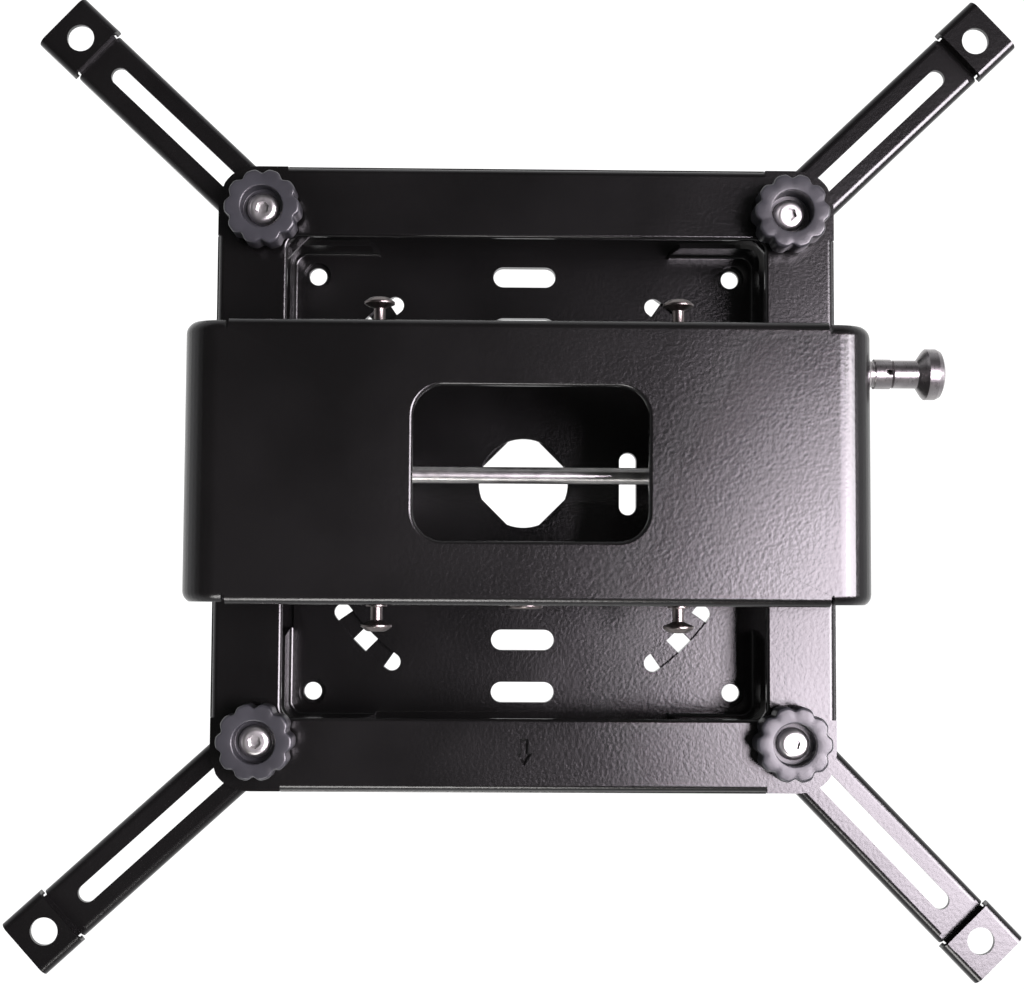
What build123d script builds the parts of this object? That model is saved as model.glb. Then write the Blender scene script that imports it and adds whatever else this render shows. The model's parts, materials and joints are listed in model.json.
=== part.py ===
from build123d import *
import os
from math import cos, radians, sin

# Projector ceiling mount, millimetres.
# Origin: centre of the ceiling plate's upper face. +Z up into the ceiling,
# +Y to the front of the projector (the stamped arrow), +X to its right.

# Sheet metal
plate_sheet = 3.0        # ceiling plate, frame, bridge, carriage, ring
tray_sheet = 2.5         # turntable tray and arms
bend_outer = 4.0         # outside radius of an ordinary fold
running_gap = 0.2        # between faces that turn on each other
pin_clearance = 0.05     # radial, round a pin that turns in its hole
screw_tail = 1.5         # thread beyond a nut
overcut = 1.0            # cuts run this far past the faces they open

# Heights below the ceiling
frame_drop = 57.0        # lower face of the projector frame
pivot_drop = 62.0        # roll and pitch axes
bridge_drop = 129.0      # lower face of the bridge

# Ceiling plate
ceiling_side = 268.0
ceiling_corner = 14.0
anchor_pitch = 213.0     # square of ceiling screw holes
anchor_hole = 9.0
slot_length = 32.0
slot_width = 10.4
inner_slot_row = 80.0    # second pair of slots, from the centre
side_slot_offset = 53.5  # single slot beside the cable hole
side_slot_width = 8.8
cable_square = 41.6      # square cable hole, across its flats
neck_square = 8.8        # square holes for coach bolts
neck_radius = 113.0      # circle through the square holes
neck_step = 10.2         # degrees between neighbouring squares
diagonals = (45, 135, 225, 315)

# Turntable tray
tray_side = 241.0
tray_depth = 22.8        # over its walls
tray_corner = 9.0
wall_run = 42.5          # length of wall left at each corner, at its lower edge
wall_slant = 4.0         # lean of the walls' cut ends
cable_bore = 45.6
access_hole = 13.6       # reaches the ceiling screws
arc_half_angle = 9.0     # the yaw slots each side of the middle

# Yaw studs, pressed into the ceiling plate, with washers and nuts under the tray
yaw_stud_radius = 85.0   # circle of the two yaw studs
stud_size = 8.0          # M8
stud_nut_flats = 13.0    # across flats of M8 nuts
stud_head = 13.0
stud_head_height = 1.4
yaw_slot_play = 0.6      # the tray's slots over the studs
yaw_washer = 17.6
yaw_washer_thickness = 1.6
yaw_nut_height = 6.5

# Hanger brackets
hanger_width = 56.0
hanger_face = 56.0       # inner face of each cheek, from the centre
foot_length = 14.5       # short enough to leave the inner slots free
foot_screw_spacing = 36.0
pivot_margin = 12.0      # metal round a pivot hole
foot_screw = 6.0         # M6
small_nut_flats = 10.0   # across flats of M6 nuts
small_nut_height = 5.0
countersink_depth = 2.0

# Gimbal ring
ring_half_x = 72.0
ring_half_y = 54.5
ring_height = 22.0
ring_bend = 8.0
roll_shoulder = 10.0     # shoulder diameter of the roll bolts
roll_head = 17.0
roll_head_height = 4.5
head_rounding = 1.5
roll_nut_height = 5.0
roll_washer = 22.0
rod_size = 8.0           # pitch rod
rod_chamfer = 0.8
rod_nut_height = 7.0
spacer_diameter = 14.0

# Carriage
carriage_flange_half = 128.0
ear_clearance = 9.0      # between an ear and the bridge's wing
carriage_depth = 25.0
carriage_ear_height = 42.0
ear_corner = 10.0
carriage_play = 0.3      # between the carriage's and the bridge's flanges
lug_face = 60.0          # inner face of each pitch lug
lug_half_width = 14.0
carriage_window_x = 118.0
carriage_window_y = 80.0
carriage_window_corner = 12.0

# Bridge
bridge_half_y = 62.75
bridge_offset = -1.3     # the bridge sits this far to the rear of the centre
bridge_flange_depth = 29.0
bridge_flange_half = 132.0
wing_bend = 13.0
wing_half_width = 61.8
wing_corner = 8.0
wing_setback = 1.0       # below the edge of the frame's flange
wing_relief = 4.5        # round notch between a wing and a flange
bridge_window_x = 103.6
bridge_window_y = 68.2
window_shift_x = 0.8     # middle of the window, from the bridge's own
window_shift_y = 0.6
bridge_window_corner = 13.5
window_rounding = 1.6

# Hook studs
hook_spacing = 134.0     # along X
hook_drop = 113.0        # axis below the ceiling
hook_neck = 9.4
hook_reach = 7.0         # neck outside the bridge's flange
hook_head = 13.8
hook_cone = 2.0          # length of the head's underside
hook_rim = 1.0
hook_dome = 2.0
hook_bevel = 1.5
hook_nut_height = 6.0
hook_play = 0.2
hook_shift = 15.0        # sideways travel of the hook slots
nut_chamfer = 0.8

# Projector frame
frame_side = 300.0
frame_window = 232.0
frame_corner = 20.0
frame_window_corner = 6.0
frame_flange_depth = 17.0
frame_flange_half = 116.0
knob_offset = 126.0      # knob axes, from the centre, both ways
screw_size = 8.0         # M8 knob screws
screw_play = 0.6         # the frame's hole over the screw
arrow_length = 13.2
arrow_width = 8.2
arrow_shaft = 4.4
arrow_offset = 132.0
arrow_depth = 1.3
arrow_slope = 45         # lean of its stamped walls, degrees
wing_bolt_spacing = 84.0
wing_bolt = 6.0          # M6
wing_bolt_margin = 7.0   # from the wing's edge
wing_head = 12.0
wing_head_height = 2.4

# Arms
arm_width = 28.5
arm_flange = 8.0         # over the web
arm_slot = 8.6
arm_back = 10.0          # metal behind the slot
slot_inner = 138.0       # slot end centres, from the tab hole
slot_outer = 25.0
joggle_inner = 10.5      # start of the step, from the tab hole
joggle_height = 5.6
joggle_run = 2.0
joggle_bend = 2.0        # radius of its middle line
tab_reach = 13.0         # tab beyond its hole
tab_width = 31.4
tab_lip = 7.0
tab_hole = 13.0
lip_relief = 1.6
arm_chamfer = 6.0
arm_gap = 0.1            # between the frame and an arm
reach_rear_left = 125.0  # knob to tab hole, as the arms stand in the photograph
reach_rear_right = 128.3
reach_front_left = 134.0
reach_front_right = 130.1
# name: knob axis signs, direction in degrees, reach
arm_places = {
    "rear_left": (-1, -1, 223.2, reach_rear_left),
    "rear_right": (1, -1, -43.7, reach_rear_right),
    "front_left": (-1, 1, 137.8, reach_front_left),
    "front_right": (1, 1, 45.8, reach_front_right),
}

# Guide nuts, knobs and their screws
guide_length = 24.0
guide_thickness = 6.0
guide_play = 0.25
guide_chamfer = 2.0
knob_diameter = 36.0
knob_height = 17.4
knob_collar = 3.0        # plain end against the washer
knob_lobes = 10
lobe_cutter = 4.2
lobe_depth = 1.7
knob_edge = 1.4
recess_diameter = 20.0
head_recess = 8.0        # depth of the recess round the screw's head
deep_recess = 12.0       # in the one knob whose screw sits deeper
recess_depth = {
    "rear_left": head_recess,
    "rear_right": deep_recess,
    "front_left": head_recess,
    "front_right": head_recess,
}
button_head = 15.2
button_height = 4.6
button_rounding = 3.2
socket_depth = 2.6
hex_key = 5.6
knob_washer = 24.0
knob_washer_thickness = 1.5

# Plunger on the right wing
plunger_inset = 18.05    # axis from the bridge's rear edge
plunger_drop = 91.0      # axis below the ceiling
plunger_travel = 7.5     # pull that draws the pin out of the carriage's ear
pin_escape = 0.5         # gap that this pull opens between the pin and the ear
pin_size = 6.0
sleeve_thread = 12.0
sleeve_inner = 4.5       # sleeve beyond the wing's inner face
sleeve_neck = 7.0        # wing to collar
collar_diameter = 13.8
collar_length = 7.4
collar_notch = 2.4
notch_depth = 4.6
sleeve_wall = 2.8        # closed end round the stem
stem_size = 3.6
chamber_bore = 8.8       # room for the spring
chamber_step = 0.8       # chamber's start beyond the wing's inner face
shoulder_length = 2.0    # collar on the pin that the spring pushes
shoulder_play = 0.2      # radial, round that collar
pin_chamfer = 1.2
sleeve_nut_flats = 17.0
sleeve_nut_height = 4.0
spring_wire = 0.8
spring_turns = 5
spring_mean = 6.6
shank_diameter = 13.0
shank_length = 12.0
pull_head = 23.6
pull_head_length = 11.5
pull_cone = 3.0
pull_dome = 3.0
edge_break = 1.0

# Worked-out heights
tray_top = -plate_sheet - running_gap
tray_face = tray_top - tray_sheet
pivot_z = -pivot_drop
frame_face = -frame_drop
frame_back = frame_face + plate_sheet
bridge_face = -bridge_drop
carriage_face = bridge_face + plate_sheet
arm_face = frame_back + arm_gap
arm_back_face = arm_face + tray_sheet
guide_face = arm_back_face + arm_gap
knob_face = frame_face - arm_gap - knob_washer_thickness
wing_top = frame_face + frame_flange_depth - wing_setback
wing_bolt_z = wing_top - wing_bolt_margin

# Worked-out widths
bridge_half_x = frame_side / 2 + plate_sheet
carriage_half_x = bridge_half_x - plate_sheet - ear_clearance
carriage_half_y = bridge_half_y - plate_sheet - carriage_play
plunger_offset = bridge_offset - bridge_half_y + plunger_inset


UPWARD = (Align.CENTER, Align.CENTER, Align.MIN)
DOWNWARD = (Align.CENTER, Align.CENTER, Align.MAX)


def folded(points, thickness, outside=bend_outer):
    """Section of a sheet folded along the outline of its middle."""
    return trace(FilletPolyline(*points, radius=outside - thickness / 2), line_width=thickness)


def slab(sketch, low, high):
    return Pos(0, 0, low) * extrude(sketch, amount=high - low)


def disc(x, y, diameter, low, high):
    return Pos(x, y, low) * Cylinder(diameter / 2, high - low, align=UPWARD)


def hexagon(across_flats, low, high):
    """Hexagonal prism round Z with its outer corners eased."""
    prism = slab(RegularPolygon(across_flats / 2, 6, major_radius=False), low, high)
    corner = across_flats / 2 / cos(radians(30))
    ease = Pos(0, 0, (low + high) / 2) * chamfer(Cylinder(corner, high - low).edges(), nut_chamfer)
    return prism & ease


def along_x(part, x=0.0, y=0.0, z=0.0):
    """Lay a part made round Z along +X."""
    return Pos(x, y, z) * Rot(0, 90, 0) * part


def along_y(part, x=0.0, y=0.0, z=0.0):
    """Lay a part made round Z along +Y."""
    return Pos(x, y, z) * Rot(-90, 0, 0) * part


def square(spacing):
    return [(x * spacing / 2, y * spacing / 2) for x in (-1, 1) for y in (-1, 1)]


def arc_slot(radius, middle, half_angle, width):
    """Round-ended slot along an arc about the centre."""
    return SlotArc(CenterArc((0, 0), radius, middle - half_angle, 2 * half_angle), width)


def ceiling_slots():
    """Slots that both the ceiling plate and the tray have."""
    slots = Sketch()
    for y in (anchor_pitch / 2, inner_slot_row):
        for side in (-1, 1):
            slots += Pos(0, side * y) * SlotOverall(slot_length, slot_width)
    slots += Pos(side_slot_offset, 0) * SlotOverall(slot_length, side_slot_width, rotation=90)
    return slots


def yaw_positions():
    return [(-yaw_stud_radius, 0), (yaw_stud_radius, 0)]


def make_ceiling_plate():
    face = RectangleRounded(ceiling_side, ceiling_side, ceiling_corner) - ceiling_slots()
    face -= Rectangle(cable_square, cable_square, rotation=45)
    for x, y in square(anchor_pitch):
        face -= Pos(x, y) * Circle(anchor_hole / 2)
    for diagonal in diagonals:
        for step in (-1, 0, 1):
            angle = diagonal + step * neck_step
            place = (neck_radius * cos(radians(angle)), neck_radius * sin(radians(angle)))
            face -= Pos(*place) * Rectangle(neck_square, neck_square, rotation=angle)
    plate = slab(face, -plate_sheet, 0)
    for x, y in yaw_positions():
        plate -= disc(x, y, stud_size, -plate_sheet, 0)
        plate -= disc(x, y, stud_head, -stud_head_height, 0)
    return plate


def make_yaw_studs():
    tail = tray_face - running_gap - yaw_washer_thickness - yaw_nut_height - screw_tail
    studs = []
    for x, y in yaw_positions():
        stud = disc(x, y, stud_size, tail, -stud_head_height)
        studs.append(stud + disc(x, y, stud_head, -stud_head_height, 0))
    return studs


def make_yaw_washers():
    top = tray_face - running_gap
    return [
        disc(x, y, yaw_washer, top - yaw_washer_thickness, top)
        - disc(x, y, stud_size, top - yaw_washer_thickness, top)
        for x, y in yaw_positions()
    ]


def make_yaw_nuts():
    top = tray_face - running_gap - yaw_washer_thickness
    nuts = []
    for x, y in yaw_positions():
        nut = Pos(x, y, 0) * hexagon(stud_nut_flats, top - yaw_nut_height, top)
        nuts.append(nut - disc(x, y, stud_size, top - yaw_nut_height, top))
    return nuts


def make_turntable():
    low = tray_top - tray_depth
    shell = slab(RectangleRounded(tray_side, tray_side, tray_corner), low, tray_top)
    shell = fillet(shell.faces().sort_by(Axis.Z)[-1].edges(), bend_outer)
    inside = tray_side - 2 * tray_sheet
    hollow = slab(RectangleRounded(inside, inside, tray_corner - tray_sheet), low, tray_face)
    hollow = fillet(hollow.faces().sort_by(Axis.Z)[-1].edges(), bend_outer - tray_sheet)
    tray = shell - hollow
    # The middle of each side is cut away, with leaning ends
    half = tray_side / 2 - wall_run
    gap = make_face(Polyline(
        (-half + wall_slant, tray_top), (half - wall_slant, tray_top),
        (half, low), (-half, low), close=True,
    ))
    edge_strip = 2 * bend_outer
    for turn in range(4):
        cut = extrude(Plane.XZ * gap, amount=edge_strip)
        tray -= Rot(0, 0, 90 * turn) * Pos(0, tray_side / 2 + bend_outer, 0) * cut
    openings = ceiling_slots() + Circle(cable_bore / 2)
    for x, y in square(anchor_pitch):
        openings += Pos(x, y) * Circle(access_hole / 2)
    for diagonal in diagonals:
        openings += arc_slot(neck_radius, diagonal, arc_half_angle, neck_square)
    for side in (0, 180):
        openings += arc_slot(yaw_stud_radius, side, arc_half_angle, stud_size + yaw_slot_play)
    for hanger_side in (-1, 1):
        for x, y in foot_screws(hanger_side):
            openings += Pos(x, y) * Circle(foot_screw / 2)
    tray -= slab(openings, tray_face - overcut, tray_top + overcut)
    for hanger_side in (-1, 1):
        for x, y in foot_screws(hanger_side):
            tray -= countersink(x, y)
    return tray


def countersink(x, y):
    """Head of a flush screw: a cone that opens upwards."""
    cone = Cone(foot_screw / 2, foot_screw / 2 + countersink_depth, countersink_depth)
    return Pos(x, y, tray_top - countersink_depth / 2) * cone


def foot_screws(side):
    """Both feet point to the rear of their cheek."""
    y = side * (hanger_face + plate_sheet / 2) - plate_sheet / 2 - foot_length / 2
    return [(-foot_screw_spacing / 2, y), (foot_screw_spacing / 2, y)]


def make_hanger(side):
    """Bracket with a foot under the tray and a cheek down to the roll axis."""
    cheek = side * (hanger_face + plate_sheet / 2)
    foot_z = tray_face - plate_sheet / 2
    section = folded(
        [(cheek - plate_sheet / 2 - foot_length, foot_z), (cheek, foot_z), (cheek, pivot_z - pivot_margin)],
        plate_sheet,
    )
    bracket = extrude(Plane.YZ * section, amount=hanger_width / 2, both=True)
    # The cheek narrows to a round end at the pivot
    taper_top = foot_z - 2 * bend_outer
    half = hanger_width / 2
    outline = make_face(Polyline(
        (-half, tray_top), (half, tray_top), (half, taper_top),
        (pivot_margin, pivot_z), (-pivot_margin, pivot_z), (-half, taper_top), close=True,
    )) + Pos(0, pivot_z) * Circle(pivot_margin)
    reach = hanger_face + plate_sheet + foot_length
    bracket = bracket & extrude(Plane.XZ * outline, amount=reach, both=True)
    bracket -= along_y(disc(0, 0, roll_shoulder, -reach, reach), z=pivot_z)
    for x, y in foot_screws(side):
        bracket -= disc(x, y, foot_screw, tray_face - plate_sheet, tray_face)
    return bracket


def make_hanger_screws():
    low = tray_face - plate_sheet - small_nut_height - screw_tail
    return [
        disc(x, y, foot_screw, low, tray_top - countersink_depth) + countersink(x, y)
        for side in (-1, 1) for x, y in foot_screws(side)
    ]


def make_hanger_nuts():
    top = tray_face - plate_sheet
    low = top - small_nut_height
    return [
        Pos(x, y, 0) * hexagon(small_nut_flats, low, top) - disc(x, y, foot_screw, low, top)
        for side in (-1, 1) for x, y in foot_screws(side)
    ]


def make_roll_bolts():
    outer = hanger_face + plate_sheet
    shoulder_end = ring_half_y - plate_sheet - running_gap
    thread_end = shoulder_end - roll_nut_height - screw_tail
    bolts = []
    for side in (-1, 1):
        bolt = disc(0, 0, roll_shoulder, shoulder_end, outer)
        bolt += disc(0, 0, stud_size, thread_end, shoulder_end)
        head = disc(0, 0, roll_head, outer, outer + roll_head_height)
        bolt += fillet(head.edges().sort_by(Axis.Z)[-1], head_rounding)
        bolt -= Pos(0, 0, outer + roll_head_height) * extrude(
            RegularPolygon(hex_key / 2, 6, major_radius=False), amount=-roll_head_height / 2)
        placed = along_y(bolt, z=pivot_z)
        bolts.append(placed if side == 1 else Rot(0, 0, 180) * placed)
    return bolts


def make_roll_washers():
    """Friction washers between the ring and the hangers."""
    low, high = ring_half_y + running_gap, hanger_face
    washers = []
    for side in (-1, 1):
        washer = disc(0, 0, roll_washer, low, high) - disc(0, 0, roll_shoulder, low, high)
        placed = along_y(washer, z=pivot_z)
        washers.append(placed if side == 1 else Rot(0, 0, 180) * placed)
    return washers


def make_roll_nuts():
    high = ring_half_y - plate_sheet - running_gap
    nuts = []
    for side in (-1, 1):
        nut = hexagon(stud_nut_flats, high - roll_nut_height, high)
        nut -= disc(0, 0, stud_size, high - roll_nut_height, high)
        placed = along_y(nut, z=pivot_z)
        nuts.append(placed if side == 1 else Rot(0, 0, 180) * placed)
    return nuts


def make_gimbal_ring():
    outer = RectangleRounded(2 * ring_half_x, 2 * ring_half_y, ring_bend)
    inside_x, inside_y = ring_half_x - plate_sheet, ring_half_y - plate_sheet
    inner = RectangleRounded(2 * inside_x, 2 * inside_y, ring_bend - plate_sheet)
    ring = slab(outer - inner, pivot_z - ring_height / 2, pivot_z + ring_height / 2)
    ring -= along_x(disc(0, 0, rod_size, -ring_half_x, ring_half_x), z=pivot_z)
    ring -= along_y(disc(0, 0, roll_shoulder + 2 * pin_clearance, -ring_half_y, ring_half_y), z=pivot_z)
    return ring


def make_pitch_rod():
    half = ring_half_x + rod_nut_height + screw_tail
    rod = chamfer(disc(0, 0, rod_size, -half, half).edges(), rod_chamfer)
    return along_x(rod, z=pivot_z)


def make_pitch_spacers():
    low, high = lug_face + plate_sheet + running_gap, ring_half_x - plate_sheet
    tube = disc(0, 0, spacer_diameter, low, high) - disc(0, 0, rod_size, low, high)
    placed = along_x(tube, z=pivot_z)
    return [placed, Rot(0, 0, 180) * placed]


def make_pitch_nuts():
    low, high = ring_half_x, ring_half_x + rod_nut_height
    nut = hexagon(stud_nut_flats, low, high) - disc(0, 0, rod_size, low, high)
    placed = along_x(nut, z=pivot_z)
    return [placed, Rot(0, 0, 180) * placed]


def hook_places():
    return [(-hook_spacing / 2, -hook_drop), (hook_spacing / 2, -hook_drop)]


def make_carriage():
    """Channel inside the bridge, with lugs up to the pitch rod."""
    mid_z = carriage_face + plate_sheet / 2
    mid_y = carriage_half_y - plate_sheet / 2
    flange_top = carriage_face + carriage_depth
    channel = folded(
        [(-mid_y, flange_top), (-mid_y, mid_z), (mid_y, mid_z), (mid_y, flange_top)], plate_sheet)
    body = extrude(Plane.YZ * channel, amount=carriage_flange_half, both=True)
    # Ears at both ends, between the flanges
    mid_x = carriage_half_x - plate_sheet / 2
    ear_top = carriage_face + carriage_ear_height
    ends = folded([(-mid_x, ear_top), (-mid_x, mid_z), (mid_x, mid_z), (mid_x, ear_top)], plate_sheet)
    ear_half = carriage_half_y - bend_outer
    ears = extrude(Plane.XZ * ends, amount=ear_half, both=True)
    ear_outline = Box(2 * carriage_half_x, 2 * ear_half, 2 * carriage_ear_height)
    ear_outline = fillet(ear_outline.edges().filter_by(Axis.X), ear_corner)
    body += ears & Pos(0, 0, carriage_face) * ear_outline
    body = Pos(0, bridge_offset, 0) * body
    window = RectangleRounded(carriage_window_x, carriage_window_y, carriage_window_corner)
    cut = slab(window, carriage_face - overcut, carriage_face + plate_sheet + overcut)
    body -= Pos(0, bridge_offset, 0) * cut
    # Lugs folded up from the window's ends
    lug_x = lug_face + plate_sheet / 2
    root = carriage_flange_half / 2 + lug_x / 2
    lug = folded([(lug_x, pivot_z + lug_half_width), (lug_x, mid_z), (root, mid_z)], plate_sheet)
    lug = extrude(Plane.XZ * lug, amount=lug_half_width, both=True)
    crown = make_face(Polyline(
        (-lug_half_width, bridge_face), (lug_half_width, bridge_face),
        (lug_half_width, pivot_z), (-lug_half_width, pivot_z), close=True,
    )) + Pos(0, pivot_z) * Circle(lug_half_width)
    lug = lug & extrude(Plane.YZ * crown, amount=carriage_half_x)
    bore = along_x(disc(0, 0, rod_size + 2 * pin_clearance, 0, carriage_half_x - bend_outer), z=pivot_z)
    lug -= bore
    body += lug + Rot(0, 0, 180) * lug
    for x, z in hook_places():
        body -= along_y(disc(0, 0, stud_size, -bridge_half_y, bridge_half_y), x=x, y=bridge_offset, z=z)
    hole_start = carriage_half_x - plate_sheet - overcut
    pin_hole = disc(0, 0, pin_size + 2 * pin_clearance, hole_start, carriage_half_x + overcut)
    body -= along_x(pin_hole, y=plunger_offset, z=-plunger_drop)
    return body


def make_hook_studs():
    """Headed studs that the bridge hangs on, two each side."""
    tail = carriage_half_y - plate_sheet - hook_nut_height - screw_tail
    thread, neck, rim = stud_size / 2, hook_neck / 2, hook_head / 2
    neck_end = bridge_half_y + hook_reach
    rim_start = neck_end + hook_cone
    dome = rim_start + hook_rim
    profile = make_face(Polyline(
        (0, tail), (thread, tail), (thread, carriage_half_y), (neck, carriage_half_y), (neck, neck_end),
        (rim, rim_start), (rim, dome), (rim - hook_bevel, dome + hook_bevel), (0, dome + hook_dome),
        close=True,
    ))
    stud = revolve(Plane.XZ * profile, Axis.Z)
    studs = []
    for x, z in hook_places():
        front = along_y(stud)
        studs.append(Pos(x, bridge_offset, z) * front)
        studs.append(Pos(x, bridge_offset, z) * Rot(0, 0, 180) * front)
    return studs


def make_hook_nuts():
    high = carriage_half_y - plate_sheet
    low = high - hook_nut_height
    nut = along_y(hexagon(stud_nut_flats, low, high) - disc(0, 0, stud_size, low, high))
    nuts = []
    for x, z in hook_places():
        nuts.append(Pos(x, bridge_offset, z) * nut)
        nuts.append(Pos(x, bridge_offset, z) * Rot(0, 0, 180) * nut)
    return nuts


def make_bridge():
    """Wide folded yoke: wings up to the frame, stiffening flanges along the face."""
    mid_z = bridge_face + plate_sheet / 2
    wing_x = bridge_half_x - plate_sheet / 2
    wings = folded(
        [(-wing_x, wing_top), (-wing_x, mid_z), (wing_x, mid_z), (wing_x, wing_top)], plate_sheet, wing_bend)
    body = extrude(Plane.XZ * wings, amount=wing_half_width, both=True)
    wing_outline = Box(2 * bridge_half_x, 2 * wing_half_width, 2 * bridge_drop)
    wing_outline = fillet(wing_outline.edges().filter_by(Axis.X), wing_corner)
    wing_outline = Pos(0, 0, wing_top - bridge_drop) * wing_outline
    keep_low = Box(4 * bridge_half_x, 4 * bridge_half_y, bridge_drop - frame_drop)
    keep_low = Pos(0, 0, bridge_face + (bridge_drop - frame_drop) / 2) * keep_low
    body = body & (wing_outline + keep_low)
    # Face trimmed back to the fold, then the flanged channel added
    fold_y = bridge_half_y - bend_outer
    relief_x = bridge_flange_half + wing_relief
    trim = Box(2 * relief_x, bridge_half_y, 4 * plate_sheet)
    for side in (-1, 1):
        body -= Pos(0, side * (fold_y + bridge_half_y / 2), bridge_face) * trim
        for end in (-1, 1):
            x = end * (bridge_flange_half + wing_relief / 2)
            body -= disc(x, side * fold_y, wing_relief, bridge_face - overcut, carriage_face + overcut)
    mid_y = bridge_half_y - plate_sheet / 2
    flange_top = bridge_face + bridge_flange_depth
    section = folded(
        [(-mid_y, flange_top), (-mid_y, mid_z), (mid_y, mid_z), (mid_y, flange_top)], plate_sheet)
    channel = extrude(Plane.YZ * section, amount=bridge_flange_half, both=True)
    body += channel
    window = RectangleRounded(bridge_window_x, bridge_window_y, bridge_window_corner)
    window = Pos(window_shift_x, window_shift_y) * window
    body -= slab(window, bridge_face - overcut, bridge_face + plate_sheet + overcut)
    rim = [
        edge for edge in body.edges()
        if abs(edge.center().Z - bridge_face) < 0.01
        and abs(edge.center().X - window_shift_x) < bridge_window_x / 2 + overcut
        and abs(edge.center().Y - window_shift_y) < bridge_window_y / 2 + overcut
    ]
    body = fillet(rim, window_rounding)
    body = Pos(0, bridge_offset, 0) * body
    for slot in hook_slots():
        body -= slot
    for bolt in wing_bolt_places():
        body -= bolt(wing_bolt, frame_side / 2 - overcut, bridge_half_x + overcut)
    bore = disc(0, 0, sleeve_thread, frame_side / 2 - overcut, bridge_half_x + overcut)
    return body - along_x(bore, y=plunger_offset, z=-plunger_drop)


def hook_slots():
    """Angled slots: the studs enter from above and slide to one side."""
    width = hook_neck + 2 * hook_play
    top = bridge_face + bridge_flange_depth + overcut
    depth = 4 * plate_sheet
    slots = []
    for x, z in hook_places():
        leg = SlotOverall(hook_shift + width, width)
        across = Pos(x + hook_shift / 2, z) * leg
        down = Pos(x + hook_shift, (top + z) / 2) * Rectangle(width, top - z)
        outline = extrude(Plane.XZ * (across + down), amount=depth / 2, both=True)
        for side in (-1, 1):
            slots.append(Pos(0, bridge_offset + side * (bridge_half_y - plate_sheet / 2), 0) * outline)
    return slots


def wing_bolt_places():
    """Functions that make a shaft along X at each wing bolt."""
    def placed(side, y):
        def shaft(diameter, near, far):
            right = along_x(disc(0, 0, diameter, near, far), y=y, z=wing_bolt_z)
            return right if side == 1 else mirror(right, Plane.YZ)
        return shaft

    return [placed(side, y) for side in (-1, 1) for y in (-wing_bolt_spacing / 2, wing_bolt_spacing / 2)]


def make_wing_bolts():
    bolts = []
    near = frame_side / 2 - plate_sheet - small_nut_height - screw_tail
    for shaft in wing_bolt_places():
        head = shaft(wing_head, bridge_half_x, bridge_half_x + wing_head_height)
        bolts.append(shaft(wing_bolt, near, bridge_half_x) + head)
    return bolts


def make_wing_nuts():
    high = frame_side / 2 - plate_sheet
    low = high - small_nut_height
    nuts = []
    for side in (-1, 1):
        for y in (-wing_bolt_spacing / 2, wing_bolt_spacing / 2):
            nut = hexagon(small_nut_flats, low, high) - disc(0, 0, wing_bolt, low, high)
            right = along_x(nut, y=y, z=wing_bolt_z)
            nuts.append(right if side == 1 else mirror(right, Plane.YZ))
    return nuts


def make_frame():
    """Square frame with side flanges folded up between the corners."""
    half = frame_side / 2
    face = RectangleRounded(frame_side, frame_side, frame_corner)
    # The folded strips are taken off the flat and put back with their bends
    strip = 2 * frame_flange_half
    for turn in range(4):
        face -= Rot(0, 0, 90 * turn) * Pos(half, 0) * Rectangle(2 * bend_outer, strip)
    body = slab(face, frame_face, frame_back)
    mid = half - plate_sheet / 2
    mid_z = frame_face + plate_sheet / 2
    root = half - 2 * bend_outer
    section = folded([(root, mid_z), (mid, mid_z), (mid, frame_face + frame_flange_depth)], plate_sheet)
    flange = extrude(Plane.XZ * section, amount=frame_flange_half, both=True)
    for turn in range(4):
        body += Rot(0, 0, 90 * turn) * flange
    window = RectangleRounded(frame_window, frame_window, frame_window_corner)
    body -= slab(window, frame_face - overcut, frame_back + overcut)
    rim = [
        edge for edge in body.edges()
        if abs(edge.center().Z - frame_face) < 0.01
        and max(abs(edge.center().X), abs(edge.center().Y)) < frame_window / 2 + overcut
    ]
    body = fillet(rim, window_rounding)
    for sx, sy, angle, reach in arm_places.values():
        hole = disc(0, 0, screw_size + screw_play, frame_face - overcut, frame_back + overcut)
        body -= Pos(sx * knob_offset, sy * knob_offset, 0) * hole
    for bolt in wing_bolt_places():
        body -= bolt(wing_bolt, half - plate_sheet - overcut, half + overcut)
    return body - Pos(0, arrow_offset, frame_face) * stamped_arrow()


def stamped_arrow():
    """Plain arrow that points to the front, with leaning walls."""
    half, wing, shaft = arrow_length / 2, arrow_width / 2, arrow_shaft / 2
    outline = make_face(Polyline(
        (0, half), (-wing, 0), (-shaft, 0), (-shaft, -half), (shaft, -half), (shaft, 0), (wing, 0), close=True,
    ))
    return extrude(outline, amount=arrow_depth, taper=arrow_slope)


def place_arm(part, name):
    """Move a part made along +X from the knob axis to its corner."""
    sx, sy, angle, reach = arm_places[name]
    return Pos(sx * knob_offset, sy * knob_offset, 0) * Rot(0, 0, angle) * part


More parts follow.
